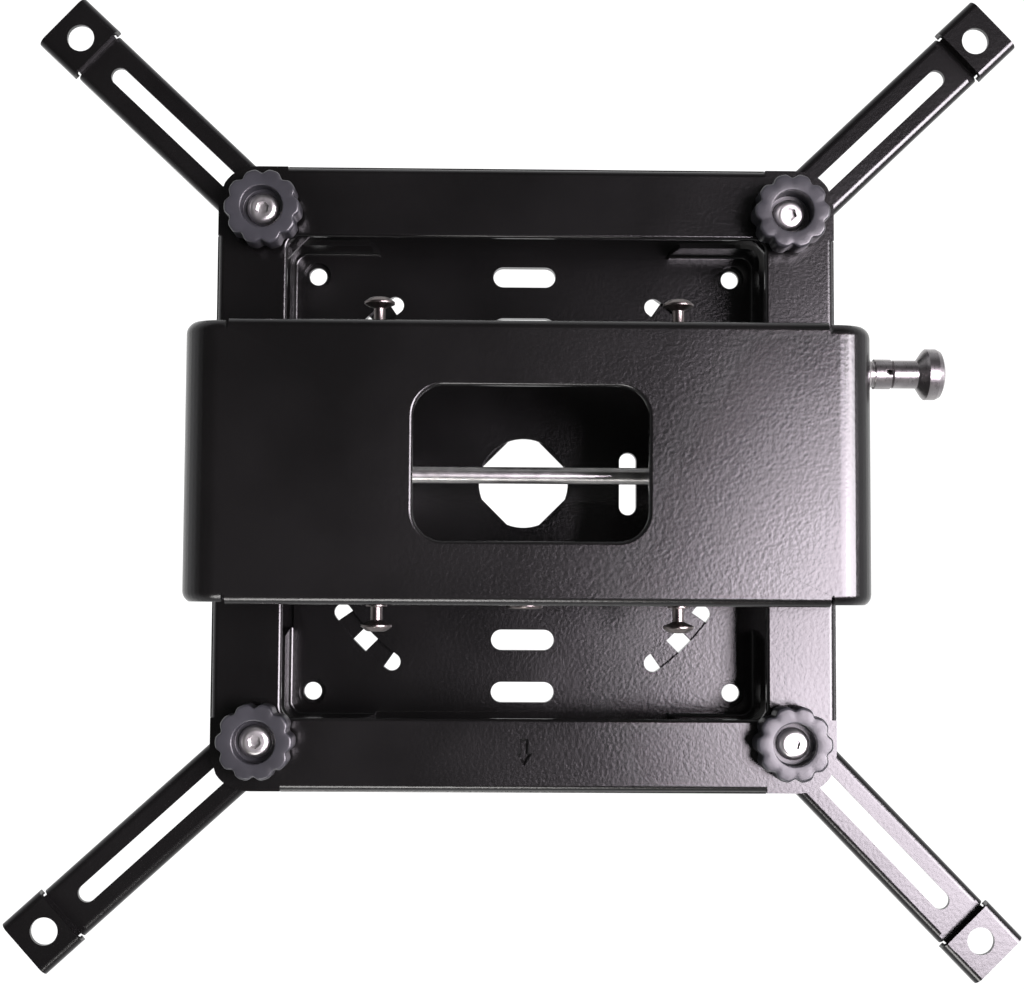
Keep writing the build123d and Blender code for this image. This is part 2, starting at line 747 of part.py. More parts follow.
def make_arm(name):
    """Slotted channel with a stepped tab, made along +X from the knob axis."""
    reach = arm_places[name][3]
    mid_z = arm_face + tray_sheet / 2
    tab_z = mid_z - joggle_height
    mid_y = arm_width / 2 - tray_sheet / 2
    step = reach - joggle_inner
    start = reach - slot_inner - arm_back
    channel = folded(
        [(-mid_y, arm_face + arm_flange), (-mid_y, mid_z), (mid_y, mid_z), (mid_y, arm_face + arm_flange)],
        tray_sheet,
    )
    arm = Pos(start, 0, 0) * extrude(Plane.YZ * channel, amount=step - lip_relief - start)
    joggle = trace(FilletPolyline(
        (step - 2 * lip_relief, mid_z), (step, mid_z),
        (step + joggle_run, tab_z), (step + 3 * joggle_run, tab_z), radius=joggle_bend,
    ), line_width=tray_sheet)
    arm += extrude(Plane.XZ * joggle, amount=arm_width / 2 - bend_outer / 2, both=True)
    lip_y = tab_width / 2 - tray_sheet / 2
    lip_top = tab_z - tray_sheet / 2 + tab_lip
    lips = folded([(-lip_y, lip_top), (-lip_y, tab_z), (lip_y, tab_z), (lip_y, lip_top)], tray_sheet)
    lip_start = step + joggle_run + lip_relief
    arm += Pos(lip_start, 0, 0) * extrude(Plane.YZ * lips, amount=reach + tab_reach - lip_start)
    slot_middle = reach - (slot_inner + slot_outer) / 2
    slot = Pos(slot_middle, 0) * SlotOverall(slot_inner - slot_outer + arm_slot, arm_slot)
    arm -= slab(slot, arm_face - overcut, arm_back_face + overcut)
    arm -= disc(reach, 0, tab_hole, tab_z - tray_sheet, tab_z + tray_sheet)
    # Inner corners clipped so that neighbouring arms can fold inwards
    clip = Rectangle(arm_chamfer * 2 ** 0.5, arm_chamfer * 2 ** 0.5, rotation=45)
    for side in (-1, 1):
        corner = Pos(start, side * arm_width / 2) * clip
        arm -= slab(corner, arm_face - overcut, arm_face + arm_flange + overcut)
    return place_arm(arm, name)


def make_guide_nut(name):
    """Square nut that slides between the arm's flanges."""
    width = arm_width - 2 * tray_sheet - 2 * guide_play
    low = guide_face
    nut = slab(Rectangle(guide_length, width), low, low + guide_thickness)
    lower = nut.faces().sort_by(Axis.Z)[0].edges().filter_by(Axis.X)
    nut = chamfer(lower, guide_chamfer)
    nut -= disc(0, 0, screw_size + 2 * pin_clearance, low, low + guide_thickness)
    return place_arm(nut, name)


def make_knob(name):
    """Lobed hand knob with a round recess for the screw's head."""
    top = knob_face
    low = top - knob_height
    outline = Circle(knob_diameter / 2)
    cutter_radius = knob_diameter / 2 - lobe_depth + lobe_cutter
    for lobe in range(knob_lobes):
        angle = radians((lobe + 0.5) * 360 / knob_lobes)
        outline -= Pos(cutter_radius * cos(angle), cutter_radius * sin(angle)) * Circle(lobe_cutter)
    grip = slab(outline, low, top - knob_collar)
    grip = chamfer(grip.faces().sort_by(Axis.Z)[0].edges(), knob_edge)
    knob = grip + disc(0, 0, knob_washer, top - knob_collar, top)
    floor = low + recess_depth[name]
    knob -= disc(0, 0, recess_diameter, low, floor)
    knob -= disc(0, 0, screw_size, low, top)
    return place_arm(knob, name)


def make_knob_screw(name):
    """Button-head screw through the knob, the frame and the arm's slot."""
    floor = knob_face - knob_height + recess_depth[name]
    tail = guide_face + guide_thickness + screw_tail
    shank = disc(0, 0, screw_size, floor, tail)
    head = disc(0, 0, button_head, floor - button_height, floor)
    head = fillet(head.edges().sort_by(Axis.Z)[0], button_rounding)
    socket = Pos(0, 0, floor - button_height) * extrude(
        RegularPolygon(hex_key / 2, 6, major_radius=False), amount=socket_depth)
    return place_arm(shank + head - socket, name)


def make_knob_washer(name):
    high = knob_face + knob_washer_thickness
    ring = disc(0, 0, knob_washer, knob_face, high) - disc(0, 0, screw_size, knob_face, high)
    return place_arm(ring, name)


def plunger_stations():
    """Places along X of the sleeve's and the pin's steps."""
    wing_in = frame_side / 2
    wing_out = bridge_half_x
    collar = wing_out + sleeve_neck
    tip = carriage_half_x + pin_escape - plunger_travel
    shoulder = wing_in + chamber_step
    return wing_in, wing_out, collar, tip, shoulder


def make_plunger_sleeve():
    """Threaded sleeve through the wing, with a notched collar."""
    wing_in, wing_out, collar, tip, shoulder = plunger_stations()
    inner = wing_in - sleeve_inner
    outer = collar + collar_length
    sleeve = disc(0, 0, sleeve_thread, inner, collar) + disc(0, 0, collar_diameter, collar, outer)
    sleeve -= disc(0, 0, pin_size + 2 * pin_clearance, inner, shoulder)
    sleeve -= disc(0, 0, chamber_bore, shoulder, outer - sleeve_wall)
    sleeve -= disc(0, 0, stem_size + 2 * pin_clearance, outer - sleeve_wall, outer)
    notch = Box(2 * collar_diameter, collar_notch, notch_depth, align=DOWNWARD)
    sleeve -= Pos(0, 0, outer) * notch & disc(0, 0, collar_diameter, outer - sleeve_wall, outer)
    return along_x(sleeve, y=plunger_offset, z=-plunger_drop)


def make_plunger_nuts():
    wing_in, wing_out, collar, tip, shoulder = plunger_stations()
    nuts = []
    for low, high in ((wing_in - sleeve_nut_height, wing_in), (wing_out, wing_out + sleeve_nut_height)):
        nut = hexagon(sleeve_nut_flats, low, high) - disc(0, 0, sleeve_thread, low, high)
        nuts.append(along_x(nut, y=plunger_offset, z=-plunger_drop))
    return nuts


def make_plunger_pin():
    wing_in, wing_out, collar, tip, shoulder = plunger_stations()
    knob_start = collar + collar_length + running_gap
    pin = disc(0, 0, pin_size, tip, shoulder)
    pin = chamfer(pin.edges().sort_by(Axis.Z)[0], pin_chamfer)
    seat = shoulder + running_gap
    pin += disc(0, 0, pin_size, shoulder, seat)
    pin += disc(0, 0, chamber_bore - 2 * shoulder_play, seat, seat + shoulder_length)
    pin += disc(0, 0, stem_size, seat + shoulder_length, knob_start + shank_length)
    return along_x(pin, y=plunger_offset, z=-plunger_drop)


def make_plunger_spring():
    wing_in, wing_out, collar, tip, shoulder = plunger_stations()
    low = shoulder + running_gap + shoulder_length + spring_wire / 2
    high = collar + collar_length - sleeve_wall - spring_wire / 2
    pitch = (high - low) / spring_turns
    path = Helix(pitch, high - low, spring_mean / 2)
    section = Plane(origin=path @ 0, z_dir=path % 0) * Circle(spring_wire / 2)
    spring = Pos(0, 0, low) * sweep(section, path=path)
    return along_x(spring, y=plunger_offset, z=-plunger_drop)


def make_plunger_knob():
    wing_in, wing_out, collar, tip, shoulder = plunger_stations()
    start = collar + collar_length + running_gap
    head = start + shank_length
    end = head + pull_head_length
    shank, rim = shank_diameter / 2, pull_head / 2
    cone_end = head + pull_cone
    profile = make_face(Polyline(
        (0, start), (shank - edge_break, start), (shank, start + edge_break), (shank, head),
        (rim - edge_break, cone_end), (rim, cone_end + edge_break), (rim, end - pull_dome),
        (rim - edge_break, end - edge_break), (rim - pull_dome, end), (0, end), close=True,
    ))
    knob = revolve(Plane.XZ * profile, Axis.Z)
    knob -= disc(0, 0, stem_size, start, start + shank_length)
    return along_x(knob, y=plunger_offset, z=-plunger_drop)


def save(name, shapes):
    """Write one node: a solid, or a group of separate solids."""
    solids = shapes if isinstance(shapes, list) else [shapes]
    pieces = [solid for shape in solids for solid in shape.solids()]
    export_step(pieces[0] if len(pieces) == 1 else Compound(children=pieces), f"parts/{name}.step")


def main():
    os.makedirs("parts", exist_ok=True)
    save("ceiling_plate", make_ceiling_plate())
    save("yaw_studs", make_yaw_studs())
    save("yaw_washers", make_yaw_washers())
    save("yaw_nuts", make_yaw_nuts())
    save("turntable", make_turntable())
    save("hanger_front", make_hanger(1))
    save("hanger_rear", make_hanger(-1))
    save("hanger_screws", make_hanger_screws())
    save("hanger_nuts", make_hanger_nuts())
    save("roll_bolts", make_roll_bolts())
    save("roll_washers", make_roll_washers())
    save("roll_nuts", make_roll_nuts())
    save("gimbal_ring", make_gimbal_ring())
    save("pitch_rod", make_pitch_rod())
    save("pitch_spacers", make_pitch_spacers())
    save("pitch_nuts", make_pitch_nuts())
    save("carriage", make_carriage())
    save("hook_studs", make_hook_studs())
    save("hook_nuts", make_hook_nuts())
    save("bridge", make_bridge())
    save("wing_bolts", make_wing_bolts())
    save("wing_nuts", make_wing_nuts())
    save("projector_frame", make_frame())
    save("plunger_sleeve", make_plunger_sleeve())
    save("plunger_nuts", make_plunger_nuts())
    save("plunger_pin", make_plunger_pin())
    save("plunger_spring", make_plunger_spring())
    save("plunger_knob", make_plunger_knob())
    for name in arm_places:
        save(f"arm_{name}", make_arm(name))
        save(f"guide_nut_{name}", make_guide_nut(name))
        save(f"knob_{name}", make_knob(name))
        save(f"knob_screw_{name}", make_knob_screw(name))
        save(f"knob_washer_{name}", make_knob_washer(name))


main()
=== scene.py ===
import json
from math import atan2, cos, hypot, pi, radians, sin, sqrt

import bmesh
import bpy
from mathutils import Matrix, Vector

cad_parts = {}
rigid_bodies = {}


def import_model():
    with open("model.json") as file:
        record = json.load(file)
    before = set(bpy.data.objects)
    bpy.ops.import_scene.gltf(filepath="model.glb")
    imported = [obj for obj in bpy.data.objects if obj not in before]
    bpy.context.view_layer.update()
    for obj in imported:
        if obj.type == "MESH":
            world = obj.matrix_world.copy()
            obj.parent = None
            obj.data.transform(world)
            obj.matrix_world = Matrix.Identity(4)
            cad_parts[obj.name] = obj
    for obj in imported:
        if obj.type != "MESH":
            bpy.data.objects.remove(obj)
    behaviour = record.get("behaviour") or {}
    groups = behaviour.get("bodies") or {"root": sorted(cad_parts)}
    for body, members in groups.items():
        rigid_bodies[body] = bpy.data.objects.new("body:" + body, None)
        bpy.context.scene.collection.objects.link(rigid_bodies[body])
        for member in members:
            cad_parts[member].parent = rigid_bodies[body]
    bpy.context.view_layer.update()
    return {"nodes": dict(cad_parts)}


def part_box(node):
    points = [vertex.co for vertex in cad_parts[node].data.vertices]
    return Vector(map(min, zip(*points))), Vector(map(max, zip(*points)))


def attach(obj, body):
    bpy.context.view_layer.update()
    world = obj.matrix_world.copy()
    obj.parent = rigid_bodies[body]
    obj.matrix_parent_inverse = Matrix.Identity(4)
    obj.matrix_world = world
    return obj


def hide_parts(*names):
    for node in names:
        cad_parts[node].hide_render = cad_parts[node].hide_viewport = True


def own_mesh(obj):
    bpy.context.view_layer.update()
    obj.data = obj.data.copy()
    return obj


bl_info = {
    "name": "Projector ceiling mount",
    "version": (1, 0, 0),
    "blender": (4, 5, 0),
    "location": "View3D > Sidebar > Mount",
    "description": "Dresses the packed projector mount: coated sheets, lobed knobs, threads, stage and lights",
    "category": "Object",
}

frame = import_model()

CORNERS = ("rear_left", "rear_right", "front_left", "front_right")
BODY_OF = {
    "ceiling_plate": "ceiling_side",
    "turntable": "turntable_side",
    "hanger_front": "turntable_side",
    "hanger_rear": "turntable_side",
    "gimbal_ring": "ring_side",
    "carriage": "projector_side",
    "bridge": "projector_side",
    "projector_frame": "projector_side",
}
# CAD nodes that keep their own mesh, by finish
FINISH_OF = {
    "bright_zinc": (
        "yaw_studs", "yaw_nuts", "hanger_nuts", "roll_nuts", "pitch_rod", "pitch_spacers", "pitch_nuts",
        "hook_nuts", "wing_nuts", "plunger_nuts", "plunger_pin",
    ),
    "dark_bronze": ("hanger_screws", "roll_bolts", "hook_studs", "wing_bolts"),
    "gunmetal": ("plunger_sleeve", "plunger_knob"),
    "nylon": ("yaw_washers", "roll_washers"),
    "spring_wire": ("plunger_spring",),
}
# Knob axis in metres, direction in degrees and distance to the tab hole, as the solids have them
ARM_AIMS = {
    "rear_left": (-0.126, -0.126, 223.2, 0.1250),
    "rear_right": (0.126, -0.126, -43.7, 0.1283),
    "front_left": (-0.126, 0.126, 137.8, 0.1340),
    "front_right": (0.126, 0.126, 45.8, 0.1301),
}
# Sizes of the solids in metres, where the dressed forms start from them
HAIR = 0.0001  # slack for telling which face a point lies on
SHEET = 0.003
BRIDGE_FOLD = 0.013  # outside radius of the end folds
RELIEF_START = 0.132  # corner reliefs of the bridge, from its middle
RELIEF_LENGTH = 0.0045
FLANGE_INSIDE = 0.056  # where the bridge's long flanges start, from its middle
FLANGE_FOLD = 0.05875
WING_HALF = 0.0618
FOLD_STEPS = 18  # parts of an end fold's quarter turn
EDGE_SHARES = (0, 0.25, 0.45, 0.65, 0.8, 0.92)  # cuts across a turned-in edge
EDGE_FADE = 0.016  # height over which a turned-in edge fades out on a wing
FRAME_STRIP = 0.004  # edge of the frame's flat corners that is set back
FRAME_CORNER = 0.1159  # where those corners start
FRAME_WALL = 0.14  # points past it belong to the front or the rear flange
ARM_LENGTH = 0.1415  # inner end to tab hole
ARM_SLOT_HALF = 0.0049
ARM_FLAT_HALF = 0.0122
STEP_BACK = 0.0095  # middle of an arm's step, short of the tab hole
STEP_HALF = 0.0026
SCREW_BORE = 0.004  # radius
RECESS_FLOOR = 0.0046  # a knob's recess, from the screw head's lower face
LOBE_START = 0.003  # the lobes start this far outside the recess
M8_RIDGE_RADIUS = 0.0037
SLEEVE_RIDGE_RADIUS = 0.0057
SLEEVE_THREAD = 0.003
ROD_CHAMFER = 0.0006
YAW_STUD_HEAD = 0.0065  # radius

# Turned hook studs: radii, and lengths from the flange that they stand on
STUD_AXIS = 0.00001
STUD_SHANK, STUD_DEPTH = 0.004, 0.020
STUD_SHOULDER, SHOULDER_DEPTH, SHOULDER_REACH = 0.0047, 0.004, 0.0008
NECK_REACH = 0.007
HEAD_CONE, HEAD_RIM, HEAD_CROWN = 0.0018, 0.0028, 0.0042


# Properties


class CoatProperties(bpy.types.PropertyGroup):
    """Powder coat and rounded edges of the folded sheets."""
    colour: bpy.props.FloatVectorProperty(
        name="Coat colour", description="Base colour of the powder coat", subtype="COLOR",
        size=3, min=0, max=1, default=(0.0024, 0.0022, 0.0022))
    gloss_low: bpy.props.FloatProperty(
        name="Lowest roughness", description="Roughness in the smooth spots of the coat", min=0, max=1, default=0.21)
    gloss_high: bpy.props.FloatProperty(
        name="Highest roughness", description="Roughness in the dull spots of the coat", min=0, max=1, default=0.26)
    peel_scale: bpy.props.FloatProperty(
        name="Orange peel scale", description="Orange peel cells to the metre", min=1, default=560)
    peel_depth: bpy.props.FloatProperty(
        name="Orange peel depth", description="Height of the orange peel", unit="LENGTH", min=0, default=0.00009)
    edge_width: bpy.props.FloatProperty(
        name="Edge rounding", description="Width of the rounding on cut edges", unit="LENGTH", min=0, default=0.00045)
    edge_steps: bpy.props.IntProperty(
        name="Edge steps", description="Faces across a rounded edge", min=1, max=6, default=3)


class ShapeProperties(bpy.types.PropertyGroup):
    """Forms of the folded sheets that the solids leave plainer."""
    end_fold: bpy.props.FloatProperty(
        name="End fold", description="Outside radius of the bridge's end folds", unit="LENGTH", default=0.0170)
    relief_width: bpy.props.FloatProperty(
        name="Relief width", description="Width of the bridge's corner reliefs", unit="LENGTH", default=0.0016)
    edge_turn: bpy.props.FloatProperty(
        name="Edge turn", description="Radius of the turned-in edges at the end folds", unit="LENGTH", default=0.0055)
    edge_turn_width: bpy.props.FloatProperty(
        name="Edge turn width", description="Width of those edges", unit="LENGTH", default=0.0048)
    front_reach: bpy.props.FloatProperty(
        name="Front reach", description="Extra reach of the frame to the front", unit="LENGTH", default=0.0013)
    rear_reach: bpy.props.FloatProperty(
        name="Rear reach", description="Extra reach of the frame to the rear", unit="LENGTH", default=0.0006)
    corner_setback: bpy.props.FloatProperty(
        name="Corner setback", description="Set-back of the frame's flat corners", unit="LENGTH", default=0.0006)
    step_share: bpy.props.FloatProperty(
        name="Step share", description="Run of the arms' step, as a share of the solid's", default=0.4)
    inner_reach: bpy.props.FloatProperty(
        name="Inner reach", description="Extra reach of the arms' inner ends", unit="LENGTH", default=0.0017)
    channel_end: bpy.props.FloatProperty(
        name="Channel end", description="From the arms' walls to the middle of the step", unit="LENGTH",
        default=0.0009)
    lip_start: bpy.props.FloatProperty(
        name="Lip start", description="From the tabs' lips to the middle of the step", unit="LENGTH", default=0.0005)
    stud_neck: bpy.props.FloatProperty(
        name="Stud neck", description="Radius of the hook studs' free necks", unit="LENGTH", default=0.0026)
    spring_travel: bpy.props.FloatProperty(
        name="Spring travel", description="Loss of the spring's length at full pull", unit="LENGTH", default=0.0075)


class KnobProperties(bpy.types.PropertyGroup):
    """Lobed hand knobs."""
    colour: bpy.props.FloatVectorProperty(
        name="Grip colour", description="Colour of the moulded grip", subtype="COLOR",
        size=3, min=0, max=1, default=(0.0205, 0.0205, 0.0240))
    lobes: bpy.props.IntProperty(name="Lobes", description="Lobes round the grip", min=3, max=24, default=10)
    lobe_depth: bpy.props.FloatProperty(
        name="Lobe depth", description="Depth of the hollows between lobes", unit="LENGTH", min=0, default=0.0020)
    collar_radius: bpy.props.FloatProperty(
        name="Collar radius", description="Plain end against the washer", unit="LENGTH", min=0, default=0.012)
    collar_height: bpy.props.FloatProperty(
        name="Collar height", description="Length of the plain end", unit="LENGTH", min=0, default=0.003)
    recess_radius: bpy.props.FloatProperty(
        name="Recess radius", description="Round recess of the screw head", unit="LENGTH", min=0, default=0.010)
    edge_radius: bpy.props.FloatProperty(
        name="Rim rounding", description="Rounding of the grip's outer rim", unit="LENGTH", min=0, default=0.0015)
    lip_radius: bpy.props.FloatProperty(
        name="Lip rounding", description="Rounding of the recess's lip", unit="LENGTH", min=0, default=0.0007)
    steps: bpy.props.IntProperty(name="Steps round", description="Faces round the grip", min=24, max=360, default=180)


class ThreadProperties(bpy.types.PropertyGroup):
    """Threads on the free ends of screws, studs and rod."""
    coarse_pitch: bpy.props.FloatProperty(
        name="M8 pitch", description="Pitch of the larger threads", unit="LENGTH", min=0, default=0.00125)
    fine_pitch: bpy.props.FloatProperty(
        name="M6 pitch", description="Pitch of the smaller threads", unit="LENGTH", min=0, default=0.001)
    ridge: bpy.props.FloatProperty(
        name="Ridge", description="Radius of the ridge's section", unit="LENGTH", min=0, default=0.00042)
    steps: bpy.props.IntProperty(name="Steps", description="Points in one turn", min=8, max=64, default=28)


class MetalProperties(bpy.types.PropertyGroup):
    """Bare and plated metals."""
    zinc: bpy.props.FloatVectorProperty(
        name="Zinc", description="Bright zinc plate", subtype="COLOR", size=3, min=0, max=1,
        default=(0.70, 0.69, 0.68))
    bronze: bpy.props.FloatVectorProperty(
        name="Dark bronze", description="Dark plate on studs and bolts", subtype="COLOR", size=3, min=0, max=1,
        default=(0.16, 0.14, 0.135))
    gunmetal: bpy.props.FloatVectorProperty(
        name="Gunmetal", description="Burnished plunger parts", subtype="COLOR", size=3, min=0, max=1,
        default=(0.30, 0.285, 0.29))
    nylon: bpy.props.FloatVectorProperty(
        name="Nylon", description="Friction washers", subtype="COLOR", size=3, min=0, max=1,
        default=(0.72, 0.70, 0.64))


class StageProperties(bpy.types.PropertyGroup):
    """Floor, backdrop, lights and camera."""
    reach: bpy.props.FloatProperty(
        name="Reach", description="Height of the backdrop above and of the floor below", unit="LENGTH", default=2.6)
    width: bpy.props.FloatProperty(
        name="Width", description="Side of the floor and of the backdrop", unit="LENGTH", default=14.0)
    softbox_power: bpy.props.FloatProperty(
        name="Softbox power", description="Power of the round softbox", min=0, default=132)
    softbox_width: bpy.props.FloatProperty(
        name="Softbox width", description="Diameter of the round softbox", unit="LENGTH", min=0, default=1.4)
    softbox_place: bpy.props.FloatVectorProperty(
        name="Softbox place", description="Centre of the round softbox", subtype="XYZ", unit="LENGTH",
        default=(1.12, 0.25, -2.5))
    side_power: bpy.props.FloatProperty(
        name="Side light power", description="Power of the light to the right", min=0, default=190)
    side_place: bpy.props.FloatVectorProperty(
        name="Side light place", description="Centre of the light to the right", subtype="XYZ", unit="LENGTH",
        default=(2.45, 0.1, -2.3))
    side_width: bpy.props.FloatProperty(
        name="Side light width", description="Diameter of the light to the right", unit="LENGTH", min=0, default=1.7)
    fill_power: bpy.props.FloatProperty(
        name="Fill power", description="Power of the fill light in front", min=0, default=30)
    fill_place: bpy.props.FloatVectorProperty(
        name="Fill place", description="Centre of the fill light", subtype="XYZ", unit="LENGTH",
        default=(-0.3, 2.1, -1.5))
    fill_width: bpy.props.FloatProperty(
        name="Fill width", description="Diameter of the fill light", unit="LENGTH", min=0, default=1.0)
    camera_place: bpy.props.FloatVectorProperty(
        name="Camera place", description="Camera position below the mount", subtype="XYZ", unit="LENGTH",
        default=(-0.0169, 0.0545, -0.8328))
    camera_turn: bpy.props.FloatVectorProperty(
        name="Camera turn", description="Small turns away from straight up, about X, Y and Z", subtype="EULER",
        unit="ROTATION", default=(radians(-3.37), radians(-0.77), radians(0.38)))
    lens: bpy.props.FloatProperty(name="Lens", description="Focal length in millimetres", default=56.866)


# Small helpers


def link(obj):
    bpy.context.scene.collection.objects.link(obj)
    return obj


def smooth_by_angle(mesh, angle=32):
    mesh.polygons.foreach_set("use_smooth", [True] * len(mesh.polygons))
    mesh.set_sharp_from_angle(angle=radians(angle))


def baked(obj):
    """A plain mesh in place of the object's modifiers."""
    bpy.context.view_layer.update()
    depsgraph = bpy.context.evaluated_depsgraph_get()
    mesh = bpy.data.meshes.new_from_object(
        obj.evaluated_get(depsgraph), preserve_all_data_layers=True, depsgraph=depsgraph)
    obj.modifiers.clear()
    obj.data = mesh
    return obj


def clear_pieces(prefix):
    for obj in [o for o in bpy.data.objects if o.name.startswith(prefix)]:
        bpy.data.objects.remove(obj, do_unlink=True)


def need(condition, message):
    if not condition:
        raise RuntimeError(message)


# Finishes


def finish_tree(name):
    """A material with its Principled shader and object coordinates."""
    material = bpy.data.materials.get(name) or bpy.data.materials.new(name)
    material.use_nodes = True
    tree = material.node_tree
    tree.nodes.clear()
    output = tree.nodes.new("ShaderNodeOutputMaterial")
    shader = tree.nodes.new("ShaderNodeBsdfPrincipled")
    tree.links.new(shader.outputs["BSDF"], output.inputs["Surface"])
    coordinates = tree.nodes.new("ShaderNodeTexCoord")
    return material, tree, shader, coordinates.outputs["Object"]


def noise(tree, place, scale, detail=3.0, stretch=(1, 1, 1)):
    mapping = tree.nodes.new("ShaderNodeMapping")
    mapping.inputs["Scale"].default_value = stretch
    tree.links.new(place, mapping.inputs["Vector"])
    cells = tree.nodes.new("ShaderNodeTexNoise")
    cells.inputs["Scale"].default_value = scale
    cells.inputs["Detail"].default_value = detail
    tree.links.new(mapping.outputs["Vector"], cells.inputs["Vector"])
    return cells.outputs["Fac"]


def ranged(tree, value, low, high):
    node = tree.nodes.new("ShaderNodeMapRange")
    node.inputs["From Min"].default_value = 0.3
    node.inputs["From Max"].default_value = 0.7
    node.inputs["To Min"].default_value = low
    node.inputs["To Max"].default_value = high
    tree.links.new(value, node.inputs["Value"])
    return node.outputs["Result"]


def shades(tree, value, dark, light):
    ramp = tree.nodes.new("ShaderNodeValToRGB")
    ramp.color_ramp.elements[0].position = 0.35
    ramp.color_ramp.elements[0].color = (*dark, 1)
    ramp.color_ramp.elements[1].position = 0.65
    ramp.color_ramp.elements[1].color = (*light, 1)
    tree.links.new(value, ramp.inputs["Fac"])
    return ramp.outputs["Color"]


def relief(tree, shader, value, depth, strength=1.0):
    bump = tree.nodes.new("ShaderNodeBump")
    bump.inputs["Strength"].default_value = strength
    bump.inputs["Distance"].default_value = depth
    tree.links.new(value, bump.inputs["Height"])
    tree.links.new(bump.outputs["Normal"], shader.inputs["Normal"])


def tint(colour, factor):
    return tuple(min(1.0, c * factor) for c in colour)


def coat_finish():
    """Satin black powder coat with orange peel."""
    s = bpy.context.scene.mount_coat
    material, tree, shader, place = finish_tree("black_coat")
    peel = noise(tree, place, s.peel_scale, detail=1.5)
    patches = noise(tree, place, 14, detail=4)
    tree.links.new(shades(tree, patches, tint(s.colour, 0.8), tint(s.colour, 1.35)), shader.inputs["Base Color"])
    tree.links.new(ranged(tree, patches, s.gloss_low, s.gloss_high), shader.inputs["Roughness"])
    shader.inputs["Specular IOR Level"].default_value = 0.5
    relief(tree, shader, peel, s.peel_depth, 0.6)
    return material


def grip_finish():
    """Fine matt moulded plastic."""
    s = bpy.context.scene.mount_knob
    material, tree, shader, place = finish_tree("slate_grip")
    grain = noise(tree, place, 2600, detail=2)
    patches = noise(tree, place, 60, detail=3)
    tree.links.new(shades(tree, patches, tint(s.colour, 0.85), tint(s.colour, 1.2)), shader.inputs["Base Color"])
    tree.links.new(ranged(tree, grain, 0.28, 0.36), shader.inputs["Roughness"])
    relief(tree, shader, grain, 0.00006, 0.5)
    return material


def metal_finish(name, colour, gloss, grain_scale, stretch, depth=0.00001):
    """Plated or burnished metal with fine working marks."""
    material, tree, shader, place = finish_tree(name)
    shader.inputs["Metallic"].default_value = 1.0
    marks = noise(tree, place, grain_scale, detail=4, stretch=stretch)
    patches = noise(tree, place, 120, detail=3)
    tree.links.new(shades(tree, patches, tint(colour, 0.82), tint(colour, 1.12)), shader.inputs["Base Color"])
    tree.links.new(ranged(tree, marks, gloss[0], gloss[1]), shader.inputs["Roughness"])
    relief(tree, shader, marks, depth, 0.4)
    return material


def nylon_finish():
    s = bpy.context.scene.mount_metal
    material, tree, shader, place = finish_tree("nylon")
    grain = noise(tree, place, 900, detail=2)
    tree.links.new(shades(tree, grain, tint(s.nylon, 0.94), tint(s.nylon, 1.04)), shader.inputs["Base Color"])
    tree.links.new(ranged(tree, grain, 0.42, 0.55), shader.inputs["Roughness"])
    return material


def make_finishes():
    s = bpy.context.scene.mount_metal
    return {
        "black_coat": coat_finish(),
        "slate_grip": grip_finish(),
        "bright_zinc": metal_finish("bright_zinc", s.zinc, (0.30, 0.40), 300, (1, 1, 6), 0.000004),
        "dark_bronze": metal_finish("dark_bronze", s.bronze, (0.26, 0.36), 400, (1, 1, 4), 0.000004),
        "gunmetal": metal_finish("gunmetal", s.gunmetal, (0.26, 0.36), 400, (6, 1, 1), 0.000004),
        "spring_wire": metal_finish("spring_wire", tint(s.zinc, 0.7), (0.25, 0.35), 900, (1, 1, 1)),
        "nylon": nylon_finish(),
    }


def finish(name):
    need(name in bpy.data.materials, f"the finish {name} is made by the finishes operator first")
    return bpy.data.materials[name]


def wear(obj, material):
    obj.data.materials.clear()
    obj.data.materials.append(material)


# Forms that the solids leave plainer


def cut_across(mesh, wanted, axis, places):
    """Adds edge loops to the wanted faces, so that they can be curved there."""
    direction = Vector([1 if i == axis else 0 for i in range(3)])
    for place in places:
        faces = [f for f in mesh.faces if wanted(f)]
        edges = {e for f in faces for e in f.edges}
        verts = {v for f in faces for v in f.verts}
        bmesh.ops.bisect_plane(
            mesh, geom=faces + list(edges) + list(verts), dist=1e-7, plane_co=direction * place, plane_no=direction)


def wider_fold(across, down, old, new, sheet):
    """Move a point of a fold's section to a wider fold; both are measured from the outer faces."""
    a, d = old - across, old - down
    radius = new if hypot(a, d) > old - sheet / 2 else new - sheet
    angle = atan2(a, d)
    return new - radius * sin(angle), new - radius * cos(angle)


def corners_of(part):
    return [part.co] if isinstance(part, bmesh.types.BMVert) else [v.co for v in part.verts]


